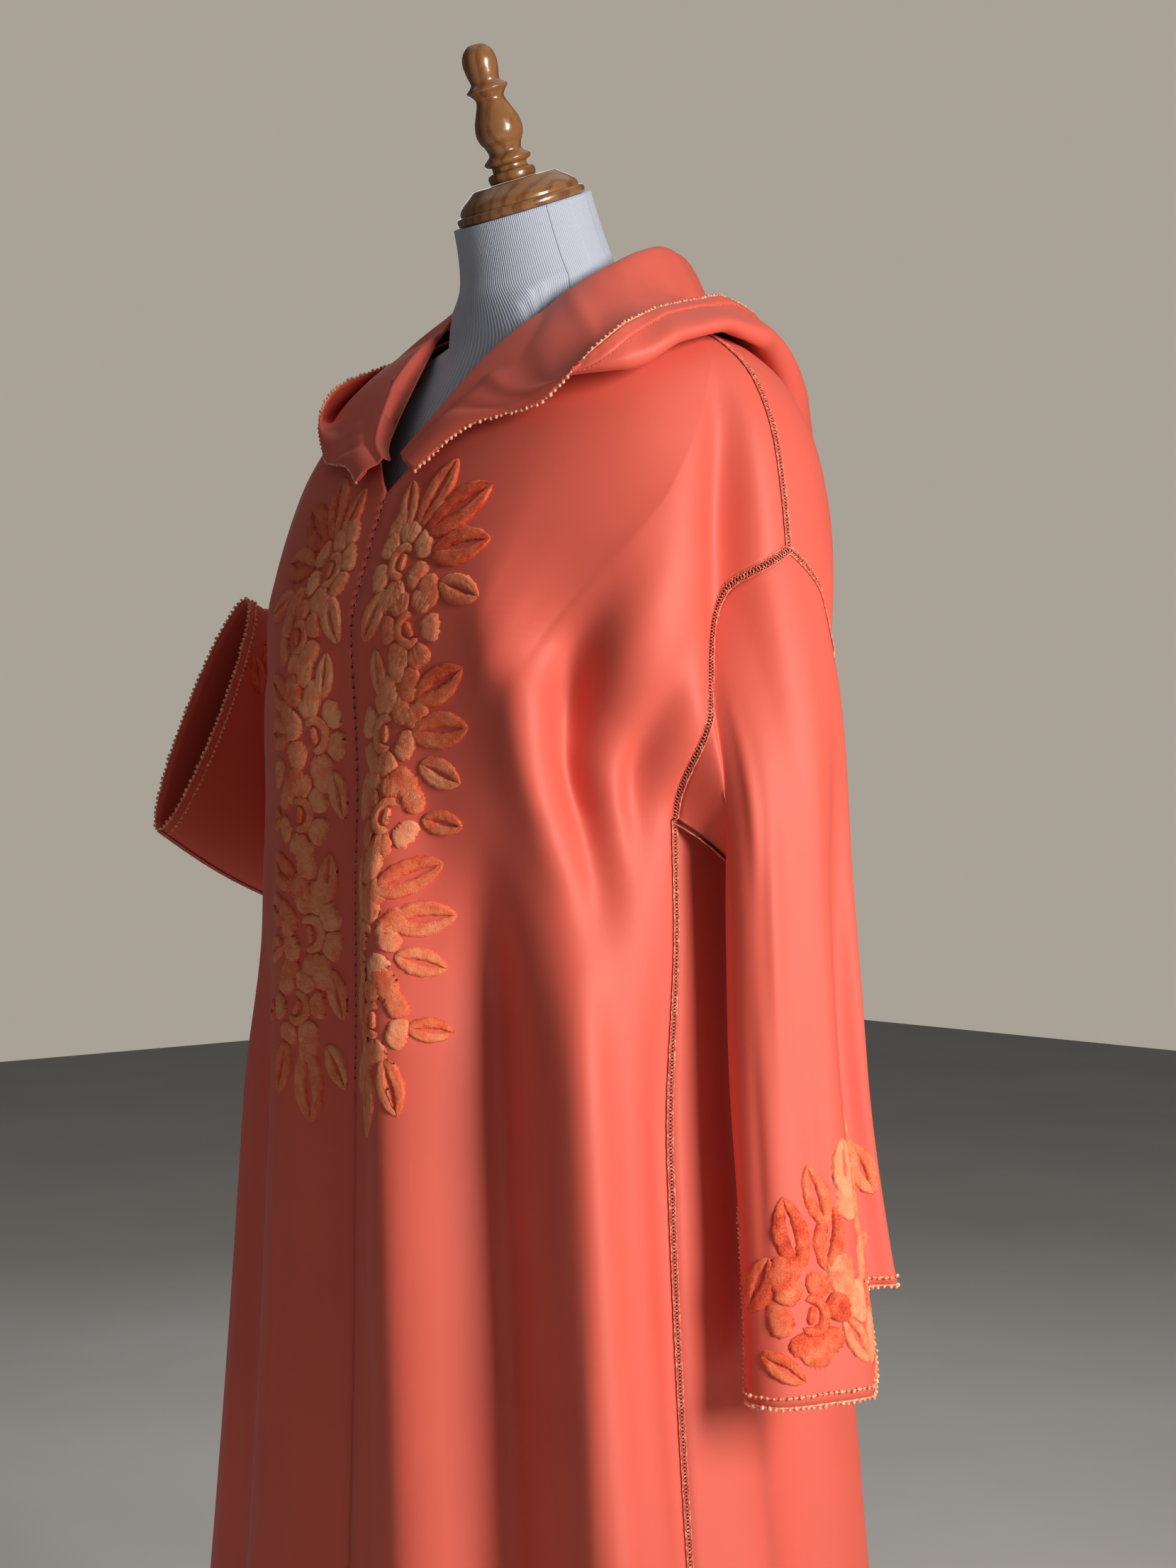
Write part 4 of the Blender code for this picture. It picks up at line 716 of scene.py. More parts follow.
panelPoints, panelFaces = [], []
for grid in (leftFront, rightFront, backPanel):
    panelFaces += triangles(grid, sum(map(len, panelPoints)))
    panelPoints.append(grid.reshape(-1, 3))
panelTree = BVHTree.FromPolygons(np.concatenate(panelPoints).tolist(), np.concatenate(panelFaces).tolist())
contact = {"sleeveRest": 0.0030, "sleeveFrom": 4, "hoodFrom": 3, "near": 0.02, "beside": 0.0005}


def keepOff(rows, rest, besideOnly):  # points that lie too close to the panels are pushed out
    for row in rows:
        for point in row:
            nearest, facing, _, distance = panelTree.find_nearest(Vector(point))
            height = (Vector(point) - nearest).dot(facing)
            if besideOnly and (distance >= contact["near"] or distance - abs(height) >= contact["beside"]):
                continue
            if height < rest:
                point += np.array(facing) * (rest - height)


for arm in (leftArm, rightArm):
    keepOff(arm[contact["sleeveFrom"]:], contact["sleeveRest"], True)
hoodGrid = np.concatenate([hoodHalf(1), hoodHalf(-1)[-2::-1]])
keepOff(hoodGrid[:, contact["hoodFrom"]:], hoodFit["rest"], False)

for name, grid, tube, node, held in (
        ("frontLeftCloth", leftFront, False, "front_left", "hung"),
        ("frontRightCloth", rightFront, False, "front_right", "hung"),
        ("backPanelCloth", backPanel, False, "back", "hung"),
        ("sleeveLeftCloth", leftArm, True, "sleeve_left", "hung"),
        ("sleeveRightCloth", rightArm, True, "sleeve_right", "hung"),
        ("hoodCloth", hoodGrid, False, "hood", "laid")):
    made = clothWall(name, grid, tube, finish["satin"])
    handOver(made, node)
    declareCloth(grid, tube)
leftFacing, rightFacing = gridNormals(leftFront), gridNormals(rightFront)
backFacing, leftArmFacing = gridNormals(backPanel), gridNormals(leftArm, True)
rightArmFacing, hoodFacing = gridNormals(rightArm, True), gridNormals(hoodGrid)
print("robe cloth made")


# Velvet flowers and leaves: strokes of pile laid flat on a panel, then set on its surface
# the strokes' edge darkening is painted shade
velvet = {"rise": 0.0024, "sink": 0.0003, "acrossSteps": 8, "alongSteps": 18, "ragged": 0.15, "tuft": 0.00028,
          "grow": 1.16, "budGrow": 1.40, "lobe": 0.158, "slit": 0.150, "paintedEdgeShade": 0.22, "frontReach": 0.16,
          "frontFoot": 0.80, "cuffReach": 0.20}
# Height, distance from the centre front, size, tone (0 red to 1 pale peach)
frontRoses = ((1.235, 0.043, 0.025, 0.62), (1.188, 0.062, 0.024, 0.50), (1.118, 0.041, 0.026, 0.66),
              (1.062, 0.056, 0.024, 0.58), (0.978, 0.046, 0.026, 0.66), (0.926, 0.058, 0.024, 0.55))
# Height, distance, length, turn in degrees, tone
frontLeaves = (
    (1.283, 0.062, 0.044, 66, 0.34), (1.270, 0.086, 0.050, 32, 0.18), (1.243, 0.095, 0.044, 8, 0.24),
    (1.213, 0.104, 0.034, -18, 0.44), (1.276, 0.034, 0.032, 104, 0.46), (1.199, 0.024, 0.034, 240, 0.66),
    (1.160, 0.030, 0.028, 100, 0.62), (1.150, 0.088, 0.042, 25, 0.30), (1.120, 0.090, 0.042, 2, 0.42),
    (1.091, 0.092, 0.032, -22, 0.54), (1.076, 0.020, 0.030, 255, 0.64), (1.058, 0.098, 0.028, -10, 0.34),
    (1.022, 0.080, 0.042, 22, 0.34), (0.994, 0.092, 0.040, 6, 0.44), (0.965, 0.092, 0.032, -14, 0.50),
    (1.018, 0.030, 0.030, 96, 0.64), (0.936, 0.020, 0.032, 250, 0.62), (0.920, 0.100, 0.028, -6, 0.36),
    (0.882, 0.074, 0.034, 286, 0.42), (0.872, 0.046, 0.046, 264, 0.58), (0.886, 0.020, 0.030, 238, 0.60))
# Height, distance, length, turn, half-width as a share, tone: single petals between the roses
frontBuds = (
    (1.262, 0.030, 0.016, 60, 0.42, 0.60), (1.214, 0.078, 0.018, 120, 0.40, 0.40),
    (1.209, 0.040, 0.018, 20, 0.40, 0.62), (1.166, 0.052, 0.020, 95, 0.34, 0.60),
    (1.150, 0.064, 0.018, 70, 0.42, 0.40), (1.146, 0.044, 0.018, 110, 0.40, 0.66),
    (1.090, 0.036, 0.018, 85, 0.40, 0.64), (1.086, 0.064, 0.017, 140, 0.42, 0.36),
    (1.030, 0.052, 0.020, 80, 0.36, 0.62), (1.008, 0.056, 0.018, 60, 0.42, 0.44),
    (1.005, 0.040, 0.018, 110, 0.40, 0.66), (0.951, 0.036, 0.018, 75, 0.40, 0.64),
    (0.952, 0.068, 0.017, 130, 0.42, 0.38), (0.900, 0.048, 0.018, 95, 0.40, 0.60),
    (1.130, 0.070, 0.016, 40, 0.42, 0.42), (0.990, 0.072, 0.016, 40, 0.42, 0.42))
cuffRoses = ((0.056, 0.040, 0.025, 0.30), (0.058, -0.042, 0.025, 0.56))
cuffLeaves = (
    (0.108, 0.048, 0.042, 82, 0.20), (0.104, 0.020, 0.036, 104, 0.30), (0.112, -0.048, 0.042, 98, 0.56),
    (0.106, -0.020, 0.036, 76, 0.66), (0.038, 0.008, 0.030, 62, 0.62), (0.034, -0.014, 0.030, 118, 0.72),
    (0.024, 0.064, 0.028, 215, 0.30), (0.026, -0.068, 0.028, 325, 0.60), (0.146, 0.002, 0.036, 90, 0.72),
    (0.076, 0.074, 0.034, 118, 0.26), (0.080, -0.076, 0.034, 62, 0.58), (0.132, 0.026, 0.034, 76, 0.40),
    (0.134, -0.026, 0.034, 104, 0.62))
cuffBuds = ((0.080, 0.016, 0.020, 84, 0.40, 0.60), (0.082, -0.014, 0.020, 96, 0.40, 0.72),
            (0.062, 0.003, 0.020, 90, 0.42, 0.74), (0.128, 0.004, 0.020, 92, 0.36, 0.74),
            (0.084, 0.058, 0.018, 120, 0.44, 0.24), (0.088, -0.062, 0.018, 60, 0.44, 0.58),
            (0.032, 0.040, 0.018, 5, 0.44, 0.34), (0.033, -0.044, 0.018, 178, 0.44, 0.62))


rose = {"petals": 6, "reach": (0.68, 0.76), "sway": 5, "half": (0.29, 0.34), "span": 27, "tones": (-0.16, 0.14),
        "curl": 0.36, "curlFrom": 20, "curlTo": 265, "curlHalf": 0.14, "heart": 0.42, "heartTurn": 60,
        "heartHalf": 0.26}


def strokeGrid(path, halfWidths):
    along = unit(np.gradient(path, axis=0))
    beside = np.stack([along[:, 1], -along[:, 0]], -1)
    across = np.linspace(-1, 1, velvet["acrossSteps"] + 1)
    ragged = np.array([[1 + velvet["ragged"] * (chance.random() - 0.5) * 2 for _ in across] for _ in path])
    places = path[:, None] + beside[:, None] * (across[None] * ragged * halfWidths[:, None])[..., None]
    fullness = np.clip(halfWidths / halfWidths.max(), 0, 1)[:, None]
    height = velvet["rise"] * np.sqrt(np.clip(1 - np.abs(across[None]) ** 4, 0, 1)) * fullness ** 0.35
    tufts = np.array([[chance.uniform(-1, 1) for _ in across] for _ in path]) * velvet["tuft"]
    height = height + tufts * (1 - across[None] ** 8)
    return places, height, np.abs(across)[None] + 0 * height


def petalStroke(centre, length, degrees, halfShare, bend=0.0, pointed=False):
    t = np.linspace(0, 1, velvet["alongSteps"] + 1)
    turn = math.radians(degrees)
    along, beside = (t - 0.5) * length, bend * length * (1 - (2 * t - 1) ** 2)
    path = np.stack([centre[0] + along * math.cos(turn) - beside * math.sin(turn),
                     centre[1] + along * math.sin(turn) + beside * math.cos(turn)], -1)
    fullness = np.sqrt(np.clip(1 - (2 * t - 1) ** 4, 0.004, 1))
    if pointed:
        fullness = np.clip(1.55 * t**0.42 * (1 - t) ** 0.60, 0.05, 1)
    return strokeGrid(path, halfShare * length * fullness)


def arcStroke(centre, radius, fromDegrees, toDegrees, halfWidth):
    t = np.linspace(0, 1, velvet["alongSteps"] + 1)
    turn = np.radians(fromDegrees + (toDegrees - fromDegrees) * t)
    path = np.stack([centre[0] + radius * np.cos(turn), centre[1] + radius * np.sin(turn)], -1)
    return strokeGrid(path, halfWidth * np.sqrt(np.clip(1 - (2 * t - 1) ** 4, 0.004, 1)))


def roseStrokes(centre, size, tone):  # a ring of petals round a curl and a heart
    strokes, start = [], chance.uniform(0, 60)
    for k in range(rose["petals"]):
        reach = size * chance.uniform(*rose["reach"])
        turn = start + k * 360 / rose["petals"] + chance.uniform(-rose["sway"], rose["sway"])
        petal = arcStroke(centre, reach, turn - rose["span"], turn + rose["span"],
                          size * chance.uniform(*rose["half"]))
        strokes.append((petal, tone + chance.uniform(*rose["tones"])))
    curl = arcStroke(centre, size * rose["curl"], start + rose["curlFrom"], start + rose["curlTo"],
                     size * rose["curlHalf"])
    heart = petalStroke(centre, size * rose["heart"], start + rose["heartTurn"], rose["heartHalf"])
    return strokes + [(curl, tone - 0.05), (heart, tone - 0.10)]


def leafStrokes(centre, length, degrees, tone):  # two halves round an open slit
    return [(petalStroke(centre, length, degrees, velvet["lobe"], bend, True), tone + chance.uniform(-0.10, 0.10))
            for bend in (velvet["slit"], -velvet["slit"])]


def spray(roses, leaves, buds):
    strokes = []
    for up, across, size, tone in roses:
        strokes += roseStrokes((across, up), size * velvet["grow"], tone)
    for up, across, length, turn, tone in leaves:
        strokes += leafStrokes((across, up), length * velvet["grow"], turn, tone)
    for up, across, length, turn, share, tone in buds:
        strokes.append((petalStroke((across, up), length * velvet["budGrow"], turn, share, 0.06), tone))
    return strokes


def layVelvet(name, grid, normals, flat, strokes, mirror):
    faces = np.concatenate(triangles(grid))
    flatPoints = np.concatenate([flat.reshape(-1, 2), np.zeros((flat.size // 2, 1))], 1)
    flatTree = BVHTree.FromPolygons(flatPoints.tolist(), faces.tolist())
    outer, facing = grid.reshape(-1, 3), normals.reshape(-1, 3)
    points, quads, tones, start = [], [], [], 0
    for (places, heights, edges), tone in strokes:
        rows, columns = heights.shape
        for place, height, edge in zip(places.reshape(-1, 2), heights.ravel(), edges.ravel()):
            found, _, index, _ = flatTree.find_nearest(Vector((place[0] * mirror, place[1], 0)))
            a, b, c = faces[index]
            p, q, r = flatPoints[a][:2], flatPoints[b][:2], flatPoints[c][:2]
            area = (q[0] - p[0]) * (r[1] - p[1]) - (q[1] - p[1]) * (r[0] - p[0])
            shareB = ((found.x - p[0]) * (r[1] - p[1]) - (found.y - p[1]) * (r[0] - p[0])) / area
            shareC = ((q[0] - p[0]) * (found.y - p[1]) - (q[1] - p[1]) * (found.x - p[0])) / area
            shares = (1 - shareB - shareC, shareB, shareC)
            spot, way = (sum(share * some[k] for share, k in zip(shares, (a, b, c)))
                         for some in (outer, facing))
            points.append(spot + way * (height - velvet["sink"]))
            # painted shade: each stroke darkens towards its sloping edges
            tones.append(tone - velvet["paintedEdgeShade"] * edge**4)
        cells = cellCorners(rows, columns) + start
        quads.append(cells if mirror > 0 else cells[:, ::-1])
        start += rows * columns
    made = meshObject(name, points, np.concatenate(quads), finish["velvet"])
    layer = made.data.attributes.new("tone", "FLOAT", "POINT")
    layer.data.foreach_set("value", np.array(tones, np.float32))
    turnOutward(made, outer, facing)
    handOver(made)


def turnOutward(made, outer, facing):  # the strokes are open domes, so each faces away from its panel
    near = BVHTree.FromPolygons(outer.tolist(), [(k, k + 1, k + 2) for k in range(0, len(outer) - 2, 3)])
    shaped = bmesh.new()
    shaped.from_mesh(made.data)
    shaped.faces.ensure_lookup_table()
    wrong = []
    for face in shaped.faces:
        index = near.find_nearest(face.calc_center_median())[2]
        if face.normal.dot(Vector(facing[index * 3])) < 0:
            wrong.append(face)
    bmesh.ops.reverse_faces(shaped, faces=wrong)
    shaped.to_mesh(made.data)
    shaped.free()


def frontFlat(grid):  # distance round from the centre front, and height
    return np.stack([runningLength(grid[..., :2], 1), grid[..., 2]], -1)


def opened(grid):
    count = grid.shape[1]
    return grid[:, (np.arange(count + 1) + count // 2) % count]


def sleeveFlat(grid):  # distance round from the outer line, and distance up from the cuff
    around = runningLength(grid, 1)
    return np.stack([around - around[:, grid.shape[1] // 2][:, None], runningLength(grid[::-1], 0)[::-1]], -1)


for name, grid, normals in (("flowersFrontLeft", leftFront, leftFacing),
                            ("flowersFrontRight", rightFront[:, ::-1], rightFacing[:, ::-1])):
    flat = frontFlat(grid)
    rows = int((grid[:, 0, 2] > velvet["frontFoot"]).sum())
    columns = int((flat[rows - 1, :, 0] < velvet["frontReach"]).sum())
    layVelvet(name, grid[:rows, :columns], normals[:rows, :columns], flat[:rows, :columns],
              spray(frontRoses, frontLeaves, frontBuds), 1)
for name, grid, normals, mirror in (("flowersSleeveLeft", opened(leftArm), opened(leftArmFacing), -1),
                                    ("flowersSleeveRight", opened(rightArm), opened(rightArmFacing), 1)):
    flat = sleeveFlat(grid)
    first = int((flat[:, 0, 1] > velvet["cuffReach"]).sum())
    layVelvet(name, grid[first:], normals[first:], flat[first:], spray(cuffRoses, cuffLeaves, cuffBuds), mirror)
print("velvet flowers laid")


# Braids, beads and stitches follow lines on the cloth
def evenly(points, facing, step):  # the line's points, outward ways and side ways at even steps
    points, facing = np.asarray(points), np.asarray(facing)
    along = runningLength(points, 0)
    at = np.linspace(0, along[-1], max(int(round(along[-1] / step)), 2) + 1)
    spots = np.stack([np.interp(at, along, points[:, k]) for k in range(3)], -1)
    ways = unit(np.stack([np.interp(at, along, facing[:, k]) for k in range(3)], -1))
    return spots, ways, unit(np.cross(unit(np.gradient(spots, axis=0)), ways))


def cordParts(path, ways, radius, sides=5):
    onward = unit(np.gradient(path, axis=0))
    beside = unit(np.cross(onward, ways))
    up = unit(np.cross(beside, onward))
    turn = 2 * np.pi * np.arange(sides) / sides
    ring = beside[:, None] * np.cos(turn)[None, :, None] + up[:, None] * np.sin(turn)[None, :, None]
    points = (path[:, None] + ring * radius).reshape(-1, 3)
    caps = [list(range(sides)), list(range((len(path) - 1) * sides, len(path) * sides))[::-1]]
    return points, cellCorners(len(path), sides, True).tolist() + caps


def joined(name, parts, material):
    points, faces, start = [], [], 0
    for some, corners in parts:
        points.append(some)
        faces += [[corner + start for corner in face] for face in corners]
        start += len(some)
    made = meshObject(name, np.concatenate(points), faces, material)
    editAll(made)
    editDone(made)
    handOver(made)


braid = {"bed": 0.00035, "bedShare": 0.86, "thread": 0.00042, "edgeThread": 0.00060, "lift": 0.00085,
         "pointsPerTurn": 6, "sway": 0.74, "over": 0.00022, "edgeShare": 0.93, "wobble": 0.00010, "sink": 0.0002}


def braidOn(name, points, facing, width, pitch):  # an open bed of painted shade, the dark seen through the braid, under two edge threads and a lattice
    spots, ways, beside = evenly(points, facing, pitch / braid["pointsPerTurn"])
    half, count = width / 2, len(spots) * 2
    bed = np.stack([spots + beside * half * side + ways * braid["bed"]
                    for side in (-braid["bedShare"], braid["bedShare"])], 1)
    under = bed - ways[:, None] * (braid["bed"] + braid["sink"])
    block = np.concatenate([bed.reshape(-1, 3), under.reshape(-1, 3)])
    cells = cellCorners(len(spots), 2)
    strip = cells.tolist() + (cells[:, ::-1] + count).tolist()
    for edge in (0, 1):
        line = np.arange(edge, count, 2)
        strip += np.stack([line[:-1], line[1:], line[1:] + count, line[:-1] + count], -1).tolist()
    # the bed's near-black colour is painted shade
    joined(name + "PaintedShadeBed", [(block, strip)], finish["gap"])
    phase = 2 * np.pi * np.arange(len(spots)) / braid["pointsPerTurn"]
    threads = []
    for side in (-1, 1):
        sway = np.cos(phase)[:, None] * side * half * braid["sway"]
        weave = (braid["lift"] + side * braid["over"] * np.cos(phase * 2))[:, None]
        threads.append(cordParts(spots + beside * sway + ways * weave, ways, braid["thread"], 4))
        wobble = (side * half * braid["edgeShare"] + braid["wobble"] * np.sin(phase * 0.37 + side))[:, None]
        threads.append(cordParts(spots + beside * wobble + ways * braid["lift"] * 0.8, ways,
                                 braid["edgeThread"]))
    joined(name, threads, finish["thread"])


bead = {"sides": 6, "ring": 0.62, "sizes": (0.78, 1.22), "rise": 0.0003, "astray": 0.0004, "cordSink": 0.7,
        "cordRadius": 0.45}


def beadsOn(name, points, facing, pitch, size, offset):  # uneven beads on a cord
    spots, ways, _ = evenly(points, facing, pitch)
    parts, sides = [], bead["sides"]
    last = 3 * sides
    faces = cellCorners(3, sides, True).tolist() + [[k, (k + 1) % sides, last] for k in range(sides)]
    faces += [[2 * sides + (k + 1) % sides, 2 * sides + k, last + 1] for k in range(sides)]
    for spot, way in zip(spots, ways):
        turn = 2 * np.pi * np.arange(sides) / sides + chance.random()
        big = size * chance.uniform(*bead["sizes"])
        middle = spot + way * (offset + chance.uniform(-bead["rise"], bead["rise"]))
        middle = middle + np.array([chance.uniform(-bead["astray"], bead["astray"]) for _ in range(3)])
        rings = [np.stack([np.cos(turn) * math.sqrt(1 - h * h), np.sin(turn) * math.sqrt(1 - h * h),
                           0 * turn + h], -1) for h in (-bead["ring"], 0.0, bead["ring"])]
        ball = np.concatenate(rings + [np.array([[0, 0, -1.0], [0, 0, 1.0]])]) * big + middle
        parts.append((ball, faces))
    line = spots + ways * (offset - size * bead["cordSink"])
    parts.append(cordParts(line, np.roll(ways, 1, axis=1), size * bead["cordRadius"]))
    joined(name, parts, finish["bead"])


def stitchesOn(name, points, facing, pitch, length, thick):
    spots, ways, _ = evenly(points, facing, pitch)
    onward = unit(np.gradient(spots, axis=0))
    parts = []
    for spot, way, ahead in zip(spots[1:-1], ways[1:-1], onward[1:-1]):
        steps = np.array([-0.5, -0.25, 0.25, 0.5])[:, None] * length
        arch = np.array([-0.2, 1.0, 1.0, -0.2])[:, None] * thick
        parts.append(cordParts(spot + ahead * steps + way * arch, np.repeat(way[None], 4, 0), thick * 0.8, 4))
    joined(name, parts, finish["thread"])


def gridLine(grid, facing, stops, steps=60):  # a line through the grid's (row, column) places
    stops = np.array(stops, float)
    at = np.linspace(0, len(stops) - 1, steps)
    row, column = (np.interp(at, np.arange(len(stops)), stops[:, k]) for k in (0, 1))
    r = np.clip(row.astype(int), 0, grid.shape[0] - 2)
    c = np.clip(column.astype(int), 0, grid.shape[1] - 2)
    dr, dc = (row - r)[:, None], (column - c)[:, None]
    lines = []
    for some in (grid, facing):
        lines.append((some[r, c] * (1 - dc) + some[r, c + 1] * dc) * (1 - dr)
                     + (some[r + 1, c] * (1 - dc) + some[r + 1, c + 1] * dc) * dr)
    return lines[0], unit(lines[1])


seams = {"shoulder": (0.0046, 0.0046), "armhole": (0.0064, 0.0046), "side": (0.0046, 0.0046)}  # width, pitch
lastShoulder, firstLower = fine["columns"] - neckColumns, fine["upperRows"]
for side, front, frontWays, back, backWays, arm, armWays in (
        ("Left", leftFront, leftFacing, backPanel, backFacing, leftArm, leftArmFacing),
        ("Right", rightFront[:, ::-1], rightFacing[:, ::-1], backPanel[:, ::-1], backFacing[:, ::-1],
         rightArm, rightArmFacing)):
    braidOn("braidShoulder" + side, (front[0, neckColumns:] + back[0, lastShoulder::-1]) / 2,
            unit(frontWays[0, neckColumns:] + backWays[0, lastShoulder::-1]), *seams["shoulder"])
    braidOn("braidArmhole" + side, closed(arm[0]), closed(armWays[1]), *seams["armhole"])
    braidOn("braidSide" + side, (front[firstLower:, -1] + back[firstLower:, 0]) / 2,
            unit(frontWays[firstLower:, -1] + backWays[firstLower:, 0]), *seams["side"])
    under = arm.shape[1] // 2
    braidOn("braidSleeve" + side, arm[:, under], armWays[:, under], *seams["shoulder"])
print("seam braids laid")

# Pitch, bead size and offset of each edging
edging = {"hood": (0.0042, 0.0013, 0.0014), "cuff": (0.0043, 0.0015, 0.0014),
          "cuffUpper": (0.0043, 0.001275, 0.0010), "sleeve": (0.0032, 0.0008, 0.0006), "cuffApart": 0.0065,
          "sleeveRows": 26, "sleeveColumn": 86}
beadsOn("picotHood", hoodGrid[:, -1], unit(hoodGrid[:, -1] - hoodGrid[:, -2]), *edging["hood"])
for side, arm, armWays in (("Left", leftArm, leftArmFacing), ("Right", rightArm, rightArmFacing)):
    beadsOn("picotCuff" + side, closed(arm[-1]), closed(unit(arm[-1] - arm[-2])), *edging["cuff"])
    row = -1 - max(int(round(edging["cuffApart"] / np.linalg.norm(arm[-1, 0] - arm[-2, 0]))), 1)
    beadsOn("picotCuffUpper" + side, closed(arm[row]), closed(armWays[row]), *edging["cuffUpper"])
edge = slice(-edging["sleeveRows"], None), edging["sleeveColumn"]
beadsOn("picotSleeveEdge", leftArm[edge], leftArmFacing[edge], *edging["sleeve"])

# Pitch, length and thickness of each kind of stitch
stitches = {"hood": (0.0034, 0.0022, 0.00028), "hoodSeam": (0.0036, 0.0022, 0.0002),
            "hem": (0.0052, 0.0034, 0.00035)}
hoodBand = {"width": 0.012, "puff": 0.0013, "gather": 0.00035, "steps": 8, "stitchGap": 0.0006, "sink": 0.0001}
sheet, sheetWays = hoodGrid[:, ::-1], hoodFacing[:, ::-1]
reach = runningLength(sheet, 1)


def inward(k, at):  # points and outward ways at distances in from the hood's edge
    return (np.stack([np.interp(at, reach[k], some[k, :, axis]) for axis in range(3)], -1)
            for some in (sheet, sheetWays))


across = np.linspace(0, 1, hoodBand["steps"] + 1)
bandOuter, stitchLine = [], []
for k in range(len(sheet)):
    spots, ways = inward(k, across * hoodBand["width"])
    gather = hoodBand["gather"] * math.sin(k * 1.9 + math.sin(k * 0.31) * 2.2)
    rise = (hoodBand["puff"] + gather) * (1 - (2 * across - 1) ** 4) ** 0.5 + hoodBand["sink"]
    bandOuter.append(spots + unit(ways) * rise[:, None])
    stitchLine.append(next(inward(k, hoodBand["width"] + hoodBand["stitchGap"])))
handOver(clothWall("hoodBand", np.array(bandOuter)[:, ::-1], False, finish["satin"]))
stitchesOn("hoodStitches", np.array(stitchLine), sheetWays[:, hoodBand["steps"]], *stitches["hood"])
hoodSeam = {"step": 0.003, "radius": 0.00055, "lift": 0.0001}
# Rows and columns of the hood's grid that each seam runs through
for name, stops in (("hoodSeamLeft", ((44, 15), (37, 28), (22, 44))),
                    ("hoodSeamRight", ((256, 15), (263, 28), (278, 44))),
                    ("hoodSeamCrown", ((150, 1), (150, 22), (150, 43)))):
    spots, ways, _ = evenly(*gridLine(hoodGrid, hoodFacing, stops), hoodSeam["step"])
    # each seam's cord is painted shade, the dark line in the seam's groove
    joined(name, [cordParts(spots + ways * hoodSeam["lift"], ways, hoodSeam["radius"])], finish["gap"])
    stitchesOn(name + "Stitches", spots, ways, *stitches["hoodSeam"])
print("hood edge and cuffs trimmed")

# Centre front: small open holes from the V down, then a plain pressed seam to the hem
centreFront = {"pitch": 0.0071, "hole": 0.00115, "foot": 0.872, "sides": 14, "deep": 0.0006, "proud": 0.0003,
               "ring": 1.28, "thread": 0.00026, "seamStep": 0.010, "seamHalf": 0.0007, "seamRadius": 0.00045,
               "hemStitch": 0.028}
points, facing = (leftFront[:, 0] + rightFront[:, -1]) / 2, unit(leftFacing[:, 0] + rightFacing[:, -1])
holed, sides = points[:, 2] > centreFront["foot"], centreFront["sides"]
spots, ways, beside = evenly(points[holed], facing[holed], centreFront["pitch"])
turn = 2 * np.pi * np.arange(sides) / sides
holes, rings = [], []
for spot, way, side in zip(spots[1:], ways[1:], beside[1:]):
    circle = side[None] * np.cos(turn)[:, None] + np.cross(way, side)[None] * np.sin(turn)[:, None]
    disc = np.concatenate([spot + circle * centreFront["hole"] + way * rise
                           for rise in (centreFront["proud"], -centreFront["deep"])])
    holes.append((disc, cellCorners(2, sides, True).tolist()
                  + [list(range(sides)), list(range(sides, 2 * sides))[::-1]]))
    loop = closed(spot + circle * (centreFront["hole"] * centreFront["ring"]) + way * centreFront["proud"])
    rings.append(cordParts(loop, np.repeat(way[None], sides + 1, 0), centreFront["thread"], 4))
# each hole is a disc of painted shade, the shade seen through it
joined("centreHoles", holes, finish["gap"])
joined("centreHoleStitches", rings, finish["thread"])
spots, ways, beside = evenly(points[~holed], facing[~holed], centreFront["seamStep"])
joined("centreSeam", [cordParts(spots + beside * half + ways * 0.0001, ways, centreFront["seamRadius"])
                      for half in (-centreFront["seamHalf"], centreFront["seamHalf"])], finish["satin"])
for name, grid, ways in (("Left", leftFront, leftFacing), ("Right", rightFront, rightFacing),
                         ("Back", backPanel, backFacing)):
    row = int(np.argmin(np.abs(grid[:, 0, 2] - cloth["hem"] - centreFront["hemStitch"])))
    stitchesOn("hemStitches" + name, grid[row], ways[row], *stitches["hem"])
print("centre front and hem sewn")

# Dress form: padded torso under ribbed jersey, its chest close behind the robe's V
torso = table(
    "height halfWidth ridgeY front back",
    (0.720, 0.140, 0.008, 0.098, 0.105), (0.740, 0.150, 0.008, 0.104, 0.112), (0.830, 0.168, 0.008, 0.110, 0.120),
    (0.930, 0.150, 0.004, 0.102, 0.100), (1.030, 0.122, 0.000, 0.090, 0.082), (1.110, 0.136, 0.000, 0.108, 0.090),
    (1.190, 0.152, 0.000, 0.142, 0.104), (1.270, 0.168, 0.004, 0.126, 0.106), (1.320, 0.180, 0.008, 0.112, 0.100),
    (1.360, 0.170, 0.009, 0.092, 0.090), (1.395, 0.140, 0.009, 0.072, 0.074), (1.415, 0.104, 0.008, 0.062, 0.066))
neck = {"top": (0.0, -0.023, 1.506), "foot": (0.0, 0.001, 1.436), "lean": 22.0, "around": 96, "gap": 0.0065,
        "near": 0.03, "torsoRows": 92, "neckRows": 34, "squareness": 0.93, "seamAt": 0.93, "seamFrom": 70,
        "seamStep": 0.004, "seamRadius": 0.0006, "softRounds": 14, "softFrom": 60, "softTo": 120, "fitFrom": 40,
        "ribRound": 0.36, "ribUp": 0.0066}
neckRings = ((0.0, 0.0690), (0.2, 0.0612), (0.45, 0.0566), (0.75, 0.0536), (1.0, 0.0525))


